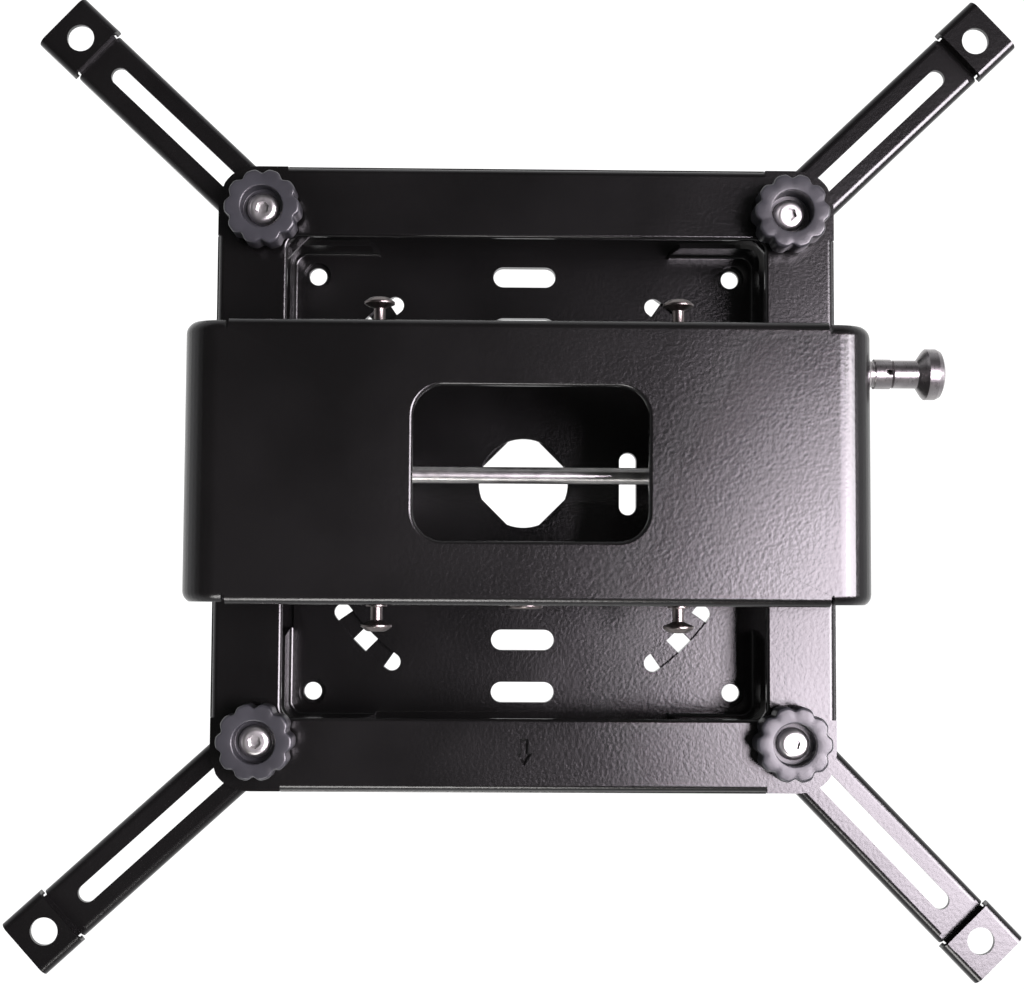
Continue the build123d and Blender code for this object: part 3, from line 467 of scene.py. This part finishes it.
def bridge_ends(mesh):
    """Wide end folds, narrow corner reliefs and turned-in edges."""
    s = bpy.context.scene.mount_shape
    low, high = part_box("bridge")
    middle, narrowing = (low.y + high.y) / 2, s.relief_width / RELIEF_LENGTH
    fold_reach, fold_top = high.x - BRIDGE_FOLD - HAIR, low.z + BRIDGE_FOLD + HAIR
    for side in (-1, 1):
        axis = Vector((side * (high.x - BRIDGE_FOLD), 0, low.z + BRIDGE_FOLD))
        for step in range(1, FOLD_STEPS):
            angle = radians(90 * step / FOLD_STEPS)
            whole = mesh.faces[:] + mesh.edges[:] + mesh.verts[:]
            parts = [g for g in whole if all(side * c.x > fold_reach and c.z < fold_top for c in corners_of(g))]
            bmesh.ops.bisect_plane(
                mesh, geom=parts, dist=1e-7, plane_co=axis, plane_no=(cos(angle), 0, side * sin(angle)))
    for v in mesh.verts:
        side, reach = (1 if v.co.x > 0 else -1), abs(v.co.x)
        edge, part = (1 if v.co.y > middle else -1), abs(v.co.y - middle)
        in_relief = RELIEF_START + HAIR / 5 < reach < RELIEF_START + RELIEF_LENGTH + HAIR
        if in_relief and part > FLANGE_INSIDE and v.co.z < low.z + SHEET + HAIR:
            v.co.x = side * (RELIEF_START + (reach - RELIEF_START) * narrowing)
            if part < FLANGE_FOLD:
                v.co.y = middle + edge * (FLANGE_FOLD - (FLANGE_FOLD - part) * narrowing)
        if reach > fold_reach and v.co.z < fold_top:
            across, down = wider_fold(high.x - reach, v.co.z - low.z, BRIDGE_FOLD, s.end_fold, SHEET)
            v.co.x, v.co.z = side * (high.x - across), low.z + down
    start = WING_HALF - s.edge_turn_width
    cuts = [start + s.edge_turn_width * share for share in EDGE_SHARES]
    fade_end = low.z + s.end_fold + EDGE_FADE
    end_start = RELIEF_START + 5 * HAIR

    def near_end(face):
        return abs(face.calc_center_bounds().x) > end_start

    cut_across(mesh, near_end, 1, [middle + sign * cut for sign in (-1, 1) for cut in cuts])
    cut_across(mesh, near_end, 2, [fade_end])
    axis_x, axis_z = high.x - s.end_fold, low.z + s.end_fold
    for v in mesh.verts:
        side, reach, part = (1 if v.co.x > 0 else -1), abs(v.co.x), abs(v.co.y - middle)
        if reach < end_start or part <= start or v.co.z > fade_end:
            continue
        drop = s.edge_turn - sqrt(s.edge_turn ** 2 - min(part - start, s.edge_turn) ** 2)
        inward = Vector((axis_x - reach, 0, axis_z - v.co.z))
        if reach < axis_x:
            inward = Vector((0, 0, 1))
        elif v.co.z > axis_z:
            inward = Vector((-(fade_end - v.co.z) / (fade_end - axis_z), 0, 0))
        else:
            inward.normalize()
        v.co += Vector((side * inward.x, 0, inward.z)) * drop


def frame_corners(mesh):
    """Flat corners set back to the side flanges, and the reach that the photograph shows."""
    s = bpy.context.scene.mount_shape
    low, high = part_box("projector_frame")
    strip_start = high.x - FRAME_STRIP
    for v in mesh.verts:
        spot = v.co.copy()
        for this, other in ((0, 1), (1, 0)):
            reach = abs(spot[this])
            if spot.z < low.z + SHEET + HAIR and abs(spot[other]) > FRAME_CORNER and reach > strip_start:
                setback = s.corner_setback * (reach - strip_start) / FRAME_STRIP
                v.co[this] -= setback if spot[this] > 0 else -setback
        if abs(spot.y) > FRAME_WALL:
            v.co.y += s.front_reach if spot.y > 0 else -s.rear_reach


def arm_step(corner):
    """A short step with lips that start at the arm's end."""
    def reshape(mesh):
        s = bpy.context.scene.mount_shape
        x, y, degrees, reach = ARM_AIMS[corner]
        ahead = Vector((cos(radians(degrees)), sin(radians(degrees)), 0))
        left = Vector((-ahead.y, ahead.x, 0))
        step, near = reach - STEP_BACK, 3 * HAIR
        for v in mesh.verts:
            place = v.co - Vector((x, y, 0))
            along, across = place.dot(ahead), abs(place.dot(left))
            new = along
            if along < reach - ARM_LENGTH and across > ARM_SLOT_HALF:
                new = along + s.inner_reach
            elif abs(along - step + STEP_HALF) < near and across > ARM_FLAT_HALF:
                new = step - s.channel_end
            elif abs(along - step - STEP_HALF) < near and across > ARM_FLAT_HALF:
                new = step - s.lip_start
            elif across < ARM_FLAT_HALF + 2 * HAIR and abs(along - step) < STEP_HALF:
                new = step + (along - step) * s.step_share
            v.co += ahead * (new - along)
    return reshape


# Coated sheets


def coated_sheet(node, body, reshape=None):
    """A copy of a sheet-metal node with rounded cut edges, in its place."""
    s = bpy.context.scene.mount_coat
    name = f"coated_{node}"
    clear_pieces(name)
    source = frame["nodes"][node]
    piece = link(bpy.data.objects.new(name, source.data.copy()))
    mesh = bmesh.new()
    mesh.from_mesh(piece.data)
    bmesh.ops.remove_doubles(mesh, verts=mesh.verts, dist=1e-6)
    if reshape:
        reshape(mesh)
        bmesh.ops.remove_doubles(mesh, verts=mesh.verts, dist=1e-5)
        bmesh.ops.dissolve_degenerate(mesh, dist=1e-5, edges=mesh.edges)
    bmesh.ops.dissolve_limit(
        mesh, angle_limit=radians(0.5), use_dissolve_boundaries=False, verts=mesh.verts, edges=mesh.edges)
    mesh.to_mesh(piece.data)
    mesh.free()
    if "custom_normal" in piece.data.attributes:
        piece.data.attributes.remove(piece.data.attributes["custom_normal"])
    rounding = piece.modifiers.new("Rounded edges", "BEVEL")
    rounding.width = s.edge_width
    rounding.segments = s.edge_steps
    rounding.limit_method = "ANGLE"
    rounding.angle_limit = radians(40)
    rounding.use_clamp_overlap = True
    rounding.miter_outer = "MITER_ARC"
    baked(piece)
    smooth_by_angle(piece.data, 40)
    weights = piece.modifiers.new("Flat faces stay flat", "WEIGHTED_NORMAL")
    weights.keep_sharp = True
    weights.weight = 80
    baked(piece)
    wear(piece, finish("black_coat"))
    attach(piece, body)
    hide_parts(node)
    return piece


# Geometry Nodes


def node_tree(name, inputs):
    """An empty modifier tree with named inputs: (label, socket type, default)."""
    old = bpy.data.node_groups.get(name)
    if old:
        bpy.data.node_groups.remove(old)
    tree = bpy.data.node_groups.new(name, "GeometryNodeTree")
    tree.is_modifier = True
    tree.interface.new_socket("Geometry", in_out="INPUT", socket_type="NodeSocketGeometry")
    for label, kind, default in inputs:
        socket = tree.interface.new_socket(label, in_out="INPUT", socket_type=kind)
        if default is not None:
            socket.default_value = default
    tree.interface.new_socket("Geometry", in_out="OUTPUT", socket_type="NodeSocketGeometry")
    start = tree.nodes.new("NodeGroupInput")
    end = tree.nodes.new("NodeGroupOutput")
    return tree, start.outputs, end.inputs


def set_tree(obj, tree, values):
    modifier = obj.modifiers.new(tree.name, "NODES")
    modifier.node_group = tree
    identifiers = {i.name: i.identifier for i in tree.interface.items_tree if i.in_out == "INPUT"}
    for label, value in values.items():
        modifier[identifiers[label]] = value
    return modifier


def math_node(tree, operation, *values):
    node = tree.nodes.new("ShaderNodeMath")
    node.operation = operation
    for index, value in enumerate(values):
        if isinstance(value, (int, float)):
            node.inputs[index].default_value = value
        else:
            tree.links.new(value, node.inputs[index])
    return node.outputs[0]


def lobe_tree():
    """Presses the hollows between lobes into a round grip."""
    tree, given, out = node_tree("Knob lobes", [
        ("Lobes", "NodeSocketInt", 10),
        ("Depth", "NodeSocketFloat", 0.0017),
        ("Inner radius", "NodeSocketFloat", 0.0125),
        ("Outer radius", "NodeSocketFloat", 0.018),
        ("Material", "NodeSocketMaterial", None),
    ])
    new, join = tree.nodes.new, tree.links.new
    position = new("GeometryNodeInputPosition")
    parts = new("ShaderNodeSeparateXYZ")
    join(position.outputs["Position"], parts.inputs["Vector"])
    x, y = parts.outputs["X"], parts.outputs["Y"]
    angle = math_node(tree, "ARCTAN2", y, x)
    wave = math_node(tree, "COSINE", math_node(tree, "MULTIPLY", angle, given["Lobes"]))
    hollow = math_node(tree, "MULTIPLY", math_node(tree, "SUBTRACT", 1.0, wave), 0.5)
    hollow = math_node(tree, "POWER", hollow, 2.4)
    radius = math_node(tree, "SQRT", math_node(
        tree, "ADD", math_node(tree, "MULTIPLY", x, x), math_node(tree, "MULTIPLY", y, y)))
    share = new("ShaderNodeMapRange")
    join(radius, share.inputs["Value"])
    join(given["Inner radius"], share.inputs["From Min"])
    join(given["Outer radius"], share.inputs["From Max"])
    amount = math_node(tree, "MULTIPLY", math_node(tree, "MULTIPLY", hollow, share.outputs["Result"]), given["Depth"])
    flat = new("ShaderNodeCombineXYZ")
    join(x, flat.inputs["X"])
    join(y, flat.inputs["Y"])
    outward = new("ShaderNodeVectorMath")
    outward.operation = "NORMALIZE"
    join(flat.outputs["Vector"], outward.inputs[0])
    inward = new("ShaderNodeVectorMath")
    inward.operation = "SCALE"
    join(outward.outputs["Vector"], inward.inputs[0])
    join(math_node(tree, "MULTIPLY", amount, -1.0), inward.inputs["Scale"])
    move = new("GeometryNodeSetPosition")
    join(given["Geometry"], move.inputs["Geometry"])
    join(inward.outputs["Vector"], move.inputs["Offset"])
    real = new("GeometryNodeRealizeInstances")
    join(move.outputs["Geometry"], real.inputs["Geometry"])
    paint = new("GeometryNodeSetMaterial")
    join(real.outputs["Geometry"], paint.inputs["Geometry"])
    join(given["Material"], paint.inputs["Material"])
    join(paint.outputs["Geometry"], out["Geometry"])
    return tree


def thread_tree():
    """A helical ridge from each point, along its axis attribute."""
    tree, given, out = node_tree("Screw thread", [
        ("Radius", "NodeSocketFloat", 0.004),
        ("Pitch", "NodeSocketFloat", 0.00125),
        ("Length", "NodeSocketFloat", 0.0015),
        ("Ridge", "NodeSocketFloat", 0.0004),
        ("Steps", "NodeSocketInt", 28),
        ("Material", "NodeSocketMaterial", None),
    ])
    new, join = tree.nodes.new, tree.links.new
    helix = new("GeometryNodeCurveSpiral")
    join(given["Steps"], helix.inputs["Resolution"])
    join(math_node(tree, "DIVIDE", given["Length"], given["Pitch"]), helix.inputs["Rotations"])
    join(given["Radius"], helix.inputs["Start Radius"])
    join(given["Radius"], helix.inputs["End Radius"])
    join(given["Length"], helix.inputs["Height"])
    section = new("GeometryNodeCurvePrimitiveCircle")
    section.inputs["Resolution"].default_value = 4
    join(given["Ridge"], section.inputs["Radius"])
    ridge = new("GeometryNodeCurveToMesh")
    join(helix.outputs["Curve"], ridge.inputs["Curve"])
    join(section.outputs["Curve"], ridge.inputs["Profile Curve"])
    ridge.inputs["Fill Caps"].default_value = True
    axis = new("GeometryNodeInputNamedAttribute")
    axis.data_type = "FLOAT_VECTOR"
    axis.inputs["Name"].default_value = "axis"
    align = new("FunctionNodeAlignRotationToVector")
    align.axis = "Z"
    join(axis.outputs["Attribute"], align.inputs["Vector"])
    copies = new("GeometryNodeInstanceOnPoints")
    join(given["Geometry"], copies.inputs["Points"])
    join(ridge.outputs["Mesh"], copies.inputs["Instance"])
    join(align.outputs["Rotation"], copies.inputs["Rotation"])
    real = new("GeometryNodeRealizeInstances")
    join(copies.outputs["Instances"], real.inputs["Geometry"])
    paint = new("GeometryNodeSetMaterial")
    join(real.outputs["Geometry"], paint.inputs["Geometry"])
    join(given["Material"], paint.inputs["Material"])
    join(paint.outputs["Geometry"], out["Geometry"])
    return tree


def threads(name, body, starts, radius, pitch, length, material):
    """Threads at several (point, direction) places on one body."""
    s = bpy.context.scene.mount_thread
    clear_pieces(name)
    mesh = bpy.data.meshes.new(name)
    mesh.from_pydata([point for point, direction in starts], [], [])
    axis = mesh.attributes.new("axis", "FLOAT_VECTOR", "POINT")
    axis.data.foreach_set("vector", [c for point, direction in starts for c in direction])
    piece = link(bpy.data.objects.new(name, mesh))
    tree = bpy.data.node_groups.get("Screw thread") or thread_tree()
    set_tree(piece, tree, {
        "Radius": radius, "Pitch": pitch, "Length": length, "Ridge": s.ridge, "Steps": s.steps,
        "Material": finish(material),
    })
    baked(piece)
    need(len(piece.data.polygons) > 0, f"{name} has no faces")
    smooth_by_angle(piece.data)
    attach(piece, body)
    return piece


# Knobs


def rounded(points, radii, steps=5):
    """Closed outline with its corners rounded: (radius, height) pairs."""
    outline = []
    count = len(points)
    for i, (corner, r) in enumerate(zip(points, radii)):
        here = Vector(corner)
        before = Vector(points[i - 1])
        after = Vector(points[(i + 1) % count])
        if r <= 0:
            outline.append(tuple(here))
            continue
        to_before = (before - here).normalized()
        to_after = (after - here).normalized()
        half = to_before.angle(to_after) / 2
        reach = r * cos(half) / sin(half)
        centre = here + (to_before + to_after).normalized() * (r / sin(half))
        first = here + to_before * reach - centre
        last = here + to_after * reach - centre
        for step in range(steps + 1):
            turned = first.slerp(last, step / steps)
            outline.append(tuple(centre + turned.normalized() * r))
    return outline


def turned_solid(name, outline, steps):
    """A closed ring turned about Z from an outline."""
    mesh = bpy.data.meshes.new(name)
    points, faces = [], []
    count = len(outline)
    for turn in range(steps):
        angle = 2 * pi * turn / steps
        points += [(r * cos(angle), r * sin(angle), z) for r, z in outline]
    for turn in range(steps):
        here, there = turn * count, (turn + 1) % steps * count
        for i in range(count):
            j = (i + 1) % count
            faces.append((here + i, there + i, there + j, here + j))
    mesh.from_pydata(points, [], faces)
    shape = bmesh.new()
    shape.from_mesh(mesh)
    bmesh.ops.recalc_face_normals(shape, faces=shape.faces)
    shape.to_mesh(mesh)
    shape.free()
    return mesh


def knob(corner):
    """One lobed grip over its CAD knob."""
    s = bpy.context.scene.mount_knob
    node = f"knob_{corner}"
    low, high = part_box(node)
    screw_low, screw_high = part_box(f"knob_screw_{corner}")
    centre = (low + high) / 2
    outer = max(high.x - low.x, high.y - low.y) / 2
    floor = screw_low.z + RECESS_FLOOR
    z = [v - high.z for v in (high.z, low.z, floor)]
    corners = [
        (SCREW_BORE, 0), (s.collar_radius, 0), (s.collar_radius, -s.collar_height), (outer, -s.collar_height),
        (outer, z[1]), (s.recess_radius, z[1]), (s.recess_radius, z[2]),
        (SCREW_BORE, z[2]),
    ]
    radii = [0, 0.0003, 0.0004, s.edge_radius * 0.6, s.edge_radius, s.lip_radius, 0.0005, 0]
    name = f"grip_{corner}"
    clear_pieces(name)
    piece = link(bpy.data.objects.new(name, turned_solid(name, rounded(corners, radii), s.steps)))
    tree = bpy.data.node_groups.get("Knob lobes") or lobe_tree()
    set_tree(piece, tree, {
        "Lobes": s.lobes, "Depth": s.lobe_depth, "Inner radius": s.recess_radius + LOBE_START, "Outer radius": outer,
        "Material": finish("slate_grip"),
    })
    baked(piece)
    piece.data.transform(Matrix.Translation((centre.x, centre.y, high.z)))
    smooth_by_angle(piece.data, 50)
    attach(piece, f"knob_{corner}")
    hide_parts(node)
    return piece


def studs():
    """Hook studs with thin free necks under low round heads."""
    s = bpy.context.scene.mount_shape
    low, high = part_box("hook_studs")
    bridge_low, bridge_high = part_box("bridge")
    middle, face = (low.y + high.y) / 2, (bridge_high.y - bridge_low.y) / 2
    end = high.y - middle
    rim = (high.z - low.z) / 2
    neck_end = face + NECK_REACH
    corners = [
        (STUD_AXIS, face - STUD_DEPTH), (STUD_SHANK, face - STUD_DEPTH),
        (STUD_SHANK, face - SHOULDER_DEPTH), (STUD_SHOULDER, face - SHOULDER_DEPTH),
        (STUD_SHOULDER, face + SHOULDER_REACH), (s.stud_neck, face + SHOULDER_REACH), (s.stud_neck, neck_end),
        (rim, neck_end + HEAD_CONE), (rim, neck_end + HEAD_RIM), (HEAD_CROWN, end - 2 * HAIR), (STUD_AXIS, end),
    ]
    radii = [0, 0, 0, 0, 0.0002, 0.0003, 0.0005, 0.0004, 0.0005, 0.003, 0]
    outline = rounded(corners, radii)
    clear_pieces("studs")
    whole = bmesh.new()
    height = (high.z + low.z) / 2
    for x in (low.x + rim, high.x - rim):
        for turn in (-90, 90):
            mesh = turned_solid("stud", outline, 48)
            mesh.transform(
                Matrix.Translation((x, middle, height)) @ Matrix.Rotation(radians(turn), 4, "X"))
            whole.from_mesh(mesh)
            bpy.data.meshes.remove(mesh)
    mesh = bpy.data.meshes.new("studs")
    whole.to_mesh(mesh)
    whole.free()
    piece = link(bpy.data.objects.new("studs", mesh))
    smooth_by_angle(mesh, 50)
    wear(piece, finish("dark_bronze"))
    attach(piece, "projector_side")
    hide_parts("hook_studs")
    return piece


def spring():
    """The plunger's spring: a copy of its CAD node with merged points and smooth shading."""
    name = "wound_spring"
    clear_pieces(name)
    piece = link(bpy.data.objects.new(name, frame["nodes"]["plunger_spring"].data.copy()))
    mesh = bmesh.new()
    mesh.from_mesh(piece.data)
    bmesh.ops.remove_doubles(mesh, verts=mesh.verts, dist=1e-6)
    mesh.to_mesh(piece.data)
    mesh.free()
    smooth_by_angle(piece.data, 50)
    wear(piece, finish("spring_wire"))
    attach(piece, "projector_side")
    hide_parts("plunger_spring")
    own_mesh(piece)
    return piece


# Operators


class MOUNT_OT_finishes(bpy.types.Operator):
    """Make every finish and put one on each CAD node"""
    bl_idname = "mount.finishes"
    bl_label = "Finishes"

    def execute(self, context):
        finishes = make_finishes()
        for obj in frame["nodes"].values():
            wear(obj, finishes["black_coat"])
        for name, nodes in FINISH_OF.items():
            for node in nodes:
                wear(frame["nodes"][node], finishes[name])
        for corner in CORNERS:
            wear(frame["nodes"][f"knob_{corner}"], finishes["slate_grip"])
            for node in ("guide_nut", "knob_screw", "knob_washer"):
                wear(frame["nodes"][f"{node}_{corner}"], finishes["bright_zinc"])
        return {"FINISHED"}


class MOUNT_OT_ceiling_plate(bpy.types.Operator):
    """Round the cut edges of the ceiling plate"""
    bl_idname = "mount.ceiling_plate"
    bl_label = "Ceiling plate"

    def execute(self, context):
        coated_sheet("ceiling_plate", BODY_OF["ceiling_plate"])
        return {"FINISHED"}


class MOUNT_OT_turntable(bpy.types.Operator):
    """Round the cut edges of the turning tray and its hangers"""
    bl_idname = "mount.turntable"
    bl_label = "Turntable and hangers"

    def execute(self, context):
        for node in ("turntable", "hanger_front", "hanger_rear"):
            coated_sheet(node, BODY_OF[node])
        return {"FINISHED"}


class MOUNT_OT_gimbal(bpy.types.Operator):
    """Round the cut edges of the gimbal ring and the carriage"""
    bl_idname = "mount.gimbal"
    bl_label = "Gimbal ring and carriage"

    def execute(self, context):
        for node in ("gimbal_ring", "carriage"):
            coated_sheet(node, BODY_OF[node])
        return {"FINISHED"}


class MOUNT_OT_bridge(bpy.types.Operator):
    """Round the cut edges of the bridge"""
    bl_idname = "mount.bridge"
    bl_label = "Bridge"

    def execute(self, context):
        coated_sheet("bridge", BODY_OF["bridge"], bridge_ends)
        return {"FINISHED"}


class MOUNT_OT_projector_frame(bpy.types.Operator):
    """Round the cut edges of the projector frame"""
    bl_idname = "mount.projector_frame"
    bl_label = "Projector frame"

    def execute(self, context):
        coated_sheet("projector_frame", BODY_OF["projector_frame"], frame_corners)
        return {"FINISHED"}


class MOUNT_OT_arms(bpy.types.Operator):
    """Round the cut edges of the four slotted arms"""
    bl_idname = "mount.arms"
    bl_label = "Arms"

    def execute(self, context):
        for corner in CORNERS:
            coated_sheet(f"arm_{corner}", f"arm_{corner}", arm_step(corner))
        return {"FINISHED"}


class MOUNT_OT_knobs(bpy.types.Operator):
    """Make the four lobed hand knobs"""
    bl_idname = "mount.knobs"
    bl_label = "Knobs"

    def execute(self, context):
        for corner in CORNERS:
            knob(corner)
        return {"FINISHED"}


class MOUNT_OT_hook_studs(bpy.types.Operator):
    """Make the four hook studs"""
    bl_idname = "mount.hook_studs"
    bl_label = "Hook studs"

    def execute(self, context):
        studs()
        return {"FINISHED"}


class MOUNT_OT_spring(bpy.types.Operator):
    """Make the plunger's spring"""
    bl_idname = "mount.spring"
    bl_label = "Plunger spring"

    def execute(self, context):
        spring()
        return {"FINISHED"}


class MOUNT_OT_threads(bpy.types.Operator):
    """Cut threads on the free ends of screws, studs and rod"""
    bl_idname = "mount.threads"
    bl_label = "Threads"

    def execute(self, context):
        s = context.scene.mount_thread
        for corner in CORNERS:
            low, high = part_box(f"knob_screw_{corner}")
            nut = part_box(f"guide_nut_{corner}")[1]
            centre = (low + high) / 2
            length = high.z - nut.z
            threads(
                f"thread_{corner}", f"knob_{corner}", [((centre.x, centre.y, nut.z), (0, 0, 1))],
                M8_RIDGE_RADIUS, s.coarse_pitch, length, "bright_zinc")
        low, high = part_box("pitch_rod")
        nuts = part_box("pitch_nuts")
        middle = (low + high) / 2
        threads(
            "thread_rod", "ring_side",
            [((nuts[1].x, middle.y, middle.z), (1, 0, 0)), ((nuts[0].x, middle.y, middle.z), (-1, 0, 0))],
            M8_RIDGE_RADIUS, s.coarse_pitch, high.x - nuts[1].x - ROD_CHAMFER, "bright_zinc")
        low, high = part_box("yaw_studs")
        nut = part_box("yaw_nuts")[0]
        reach = high.x - YAW_STUD_HEAD
        threads(
            "thread_yaw", "ceiling_side", [((side * reach, 0, nut.z), (0, 0, -1)) for side in (-1, 1)],
            M8_RIDGE_RADIUS, s.coarse_pitch, nut.z - low.z, "bright_zinc")
        low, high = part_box("plunger_sleeve")
        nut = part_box("plunger_nuts")[1]
        middle = (low + high) / 2
        threads(
            "thread_sleeve", "projector_side", [((nut.x, middle.y, middle.z), (1, 0, 0))],
            SLEEVE_RIDGE_RADIUS, s.fine_pitch, SLEEVE_THREAD, "bright_zinc")
        return {"FINISHED"}


class MOUNT_OT_stage(bpy.types.Operator):
    """Set the floor, the backdrop, the lights and the camera"""
    bl_idname = "mount.stage"
    bl_label = "Stage"

    def execute(self, context):
        s = context.scene.mount_stage
        floor = plane("floor", s.width, -s.reach, up=True)
        floor.data.materials.append(pale_paint())
        floor.visible_glossy = False
        backdrop = plane("backdrop", s.width, s.reach, up=False)
        backdrop.data.materials.append(white_screen())
        softbox = area_light("softbox", s.softbox_place, s.softbox_width, s.softbox_power, (1.0, 0.90, 1.0))
        fill = area_light("fill", s.fill_place, s.fill_width, s.fill_power, (1.0, 0.98, 0.96))
        side = area_light("side_light", s.side_place, s.side_width, s.side_power, (1.0, 0.93, 1.0))
        surroundings(context.scene)
        context.scene.view_settings.view_transform = "Standard"
        context.scene.camera = aimed_camera(s)
        return {"FINISHED"}


def plane(name, side, height, up):
    clear_pieces(name)
    half = side / 2
    corners = [(-half, -half, height), (half, -half, height), (half, half, height), (-half, half, height)]
    mesh = bpy.data.meshes.new(name)
    mesh.from_pydata(corners if up else corners[::-1], [], [(0, 1, 2, 3)])
    return link(bpy.data.objects.new(name, mesh))


def pale_paint():
    material, tree, shader, place = finish_tree("pale_floor")
    grain = noise(tree, place, 3, detail=2)
    tree.links.new(shades(tree, grain, (0.80, 0.80, 0.81), (0.84, 0.84, 0.85)), shader.inputs["Base Color"])
    shader.inputs["Roughness"].default_value = 0.8
    return material


def white_screen():
    material = bpy.data.materials.get("white_screen") or bpy.data.materials.new("white_screen")
    material.use_nodes = True
    tree = material.node_tree
    tree.nodes.clear()
    output = tree.nodes.new("ShaderNodeOutputMaterial")
    glow = tree.nodes.new("ShaderNodeEmission")
    glow.inputs["Color"].default_value = (1.0, 1.0, 1.0, 1)
    glow.inputs["Strength"].default_value = 1.15
    tree.links.new(glow.outputs["Emission"], output.inputs["Surface"])
    return material


def area_light(name, place, width, power, colour):
    """A round light that faces the mount."""
    clear_pieces(name)
    data = bpy.data.lights.new(name, "AREA")
    data.shape = "DISK"
    data.size = width
    data.energy = power
    data.color = colour
    light = link(bpy.data.objects.new(name, data))
    light.location = place
    light.rotation_euler = (-Vector(place)).to_track_quat("-Z", "Y").to_euler()
    light.visible_camera = False
    return light


def surroundings(scene):
    """Pale all round and above, dark below, so that the coat stays black."""
    world = bpy.data.worlds.get("surroundings") or bpy.data.worlds.new("surroundings")
    world.use_nodes = True
    tree = world.node_tree
    tree.nodes.clear()
    output = tree.nodes.new("ShaderNodeOutputWorld")
    background = tree.nodes.new("ShaderNodeBackground")
    coordinates = tree.nodes.new("ShaderNodeTexCoord")
    parts = tree.nodes.new("ShaderNodeSeparateXYZ")
    ramp = tree.nodes.new("ShaderNodeValToRGB")
    height = tree.nodes.new("ShaderNodeMapRange")
    height.inputs["From Min"].default_value = -1
    height.inputs["From Max"].default_value = 1
    ramp.color_ramp.elements[0].position = 0.25
    ramp.color_ramp.elements[0].color = (0.06, 0.06, 0.06, 1)
    ramp.color_ramp.elements[1].position = 0.5
    ramp.color_ramp.elements[1].color = (0.78, 0.78, 0.80, 1)
    tree.links.new(coordinates.outputs["Generated"], parts.inputs["Vector"])
    tree.links.new(parts.outputs["Z"], height.inputs["Value"])
    tree.links.new(height.outputs["Result"], ramp.inputs["Fac"])
    tree.links.new(ramp.outputs["Color"], background.inputs["Color"])
    background.inputs["Strength"].default_value = 1.0
    tree.links.new(background.outputs["Background"], output.inputs["Surface"])
    scene.world = world


def aimed_camera(s):
    """The camera below the mount that looks up as the photograph does."""
    clear_pieces("photo_camera")
    data = bpy.data.cameras.new("photo_camera")
    data.lens = s.lens
    data.sensor_width = 36.0
    data.sensor_fit = "HORIZONTAL"
    data.clip_start = 0.02
    data.clip_end = 50
    camera = link(bpy.data.objects.new("photo_camera", data))
    about_x, about_y, about_z = s.camera_turn
    turn = (
        Matrix.Rotation(about_z, 3, "Z") @ Matrix.Rotation(about_y, 3, "Y") @ Matrix.Rotation(about_x, 3, "X"))
    right, down, forward = turn[0], turn[1], turn[2]
    axes = Matrix((right, -down, -forward)).transposed()
    camera.matrix_world = Matrix.Translation(s.camera_place) @ axes.to_4x4()
    return camera


class MOUNT_PT_panel(bpy.types.Panel):
    """The mount's pieces in the sidebar"""
    bl_idname = "MOUNT_PT_panel"
    bl_label = "Projector mount"
    bl_space_type = "VIEW_3D"
    bl_region_type = "UI"
    bl_category = "Mount"

    def draw(self, context):
        for group in (s for s, kind in PROPERTY_GROUPS):
            box = self.layout.box()
            settings = getattr(context.scene, group)
            for key in settings.bl_rna.properties.keys():
                if key not in ("rna_type", "name"):
                    box.prop(settings, key)
        for operator in OPERATORS:
            self.layout.operator(operator.bl_idname)


PROPERTY_GROUPS = (
    ("mount_coat", CoatProperties),
    ("mount_shape", ShapeProperties),
    ("mount_knob", KnobProperties),
    ("mount_thread", ThreadProperties),
    ("mount_metal", MetalProperties),
    ("mount_stage", StageProperties),
)
OPERATORS = (
    MOUNT_OT_finishes,
    MOUNT_OT_ceiling_plate,
    MOUNT_OT_turntable,
    MOUNT_OT_gimbal,
    MOUNT_OT_bridge,
    MOUNT_OT_projector_frame,
    MOUNT_OT_arms,
    MOUNT_OT_knobs,
    MOUNT_OT_hook_studs,
    MOUNT_OT_spring,
    MOUNT_OT_threads,
    MOUNT_OT_stage,
)


def register():
    for name, kind in PROPERTY_GROUPS:
        bpy.utils.register_class(kind)
        setattr(bpy.types.Scene, name, bpy.props.PointerProperty(type=kind))
    for kind in OPERATORS + (MOUNT_PT_panel,):
        bpy.utils.register_class(kind)


def unregister():
    for kind in reversed(OPERATORS + (MOUNT_PT_panel,)):
        bpy.utils.unregister_class(kind)
    for name, kind in reversed(PROPERTY_GROUPS):
        delattr(bpy.types.Scene, name)
        bpy.utils.unregister_class(kind)


def main():
    register()
    bpy.ops.mount.finishes()
    bpy.ops.mount.ceiling_plate()
    bpy.ops.mount.turntable()
    bpy.ops.mount.gimbal()
    bpy.ops.mount.bridge()
    bpy.ops.mount.projector_frame()
    bpy.ops.mount.arms()
    bpy.ops.mount.knobs()
    bpy.ops.mount.hook_studs()
    bpy.ops.mount.spring()
    bpy.ops.mount.threads()
    bpy.ops.mount.stage()


if __name__ == "__main__":
    main()
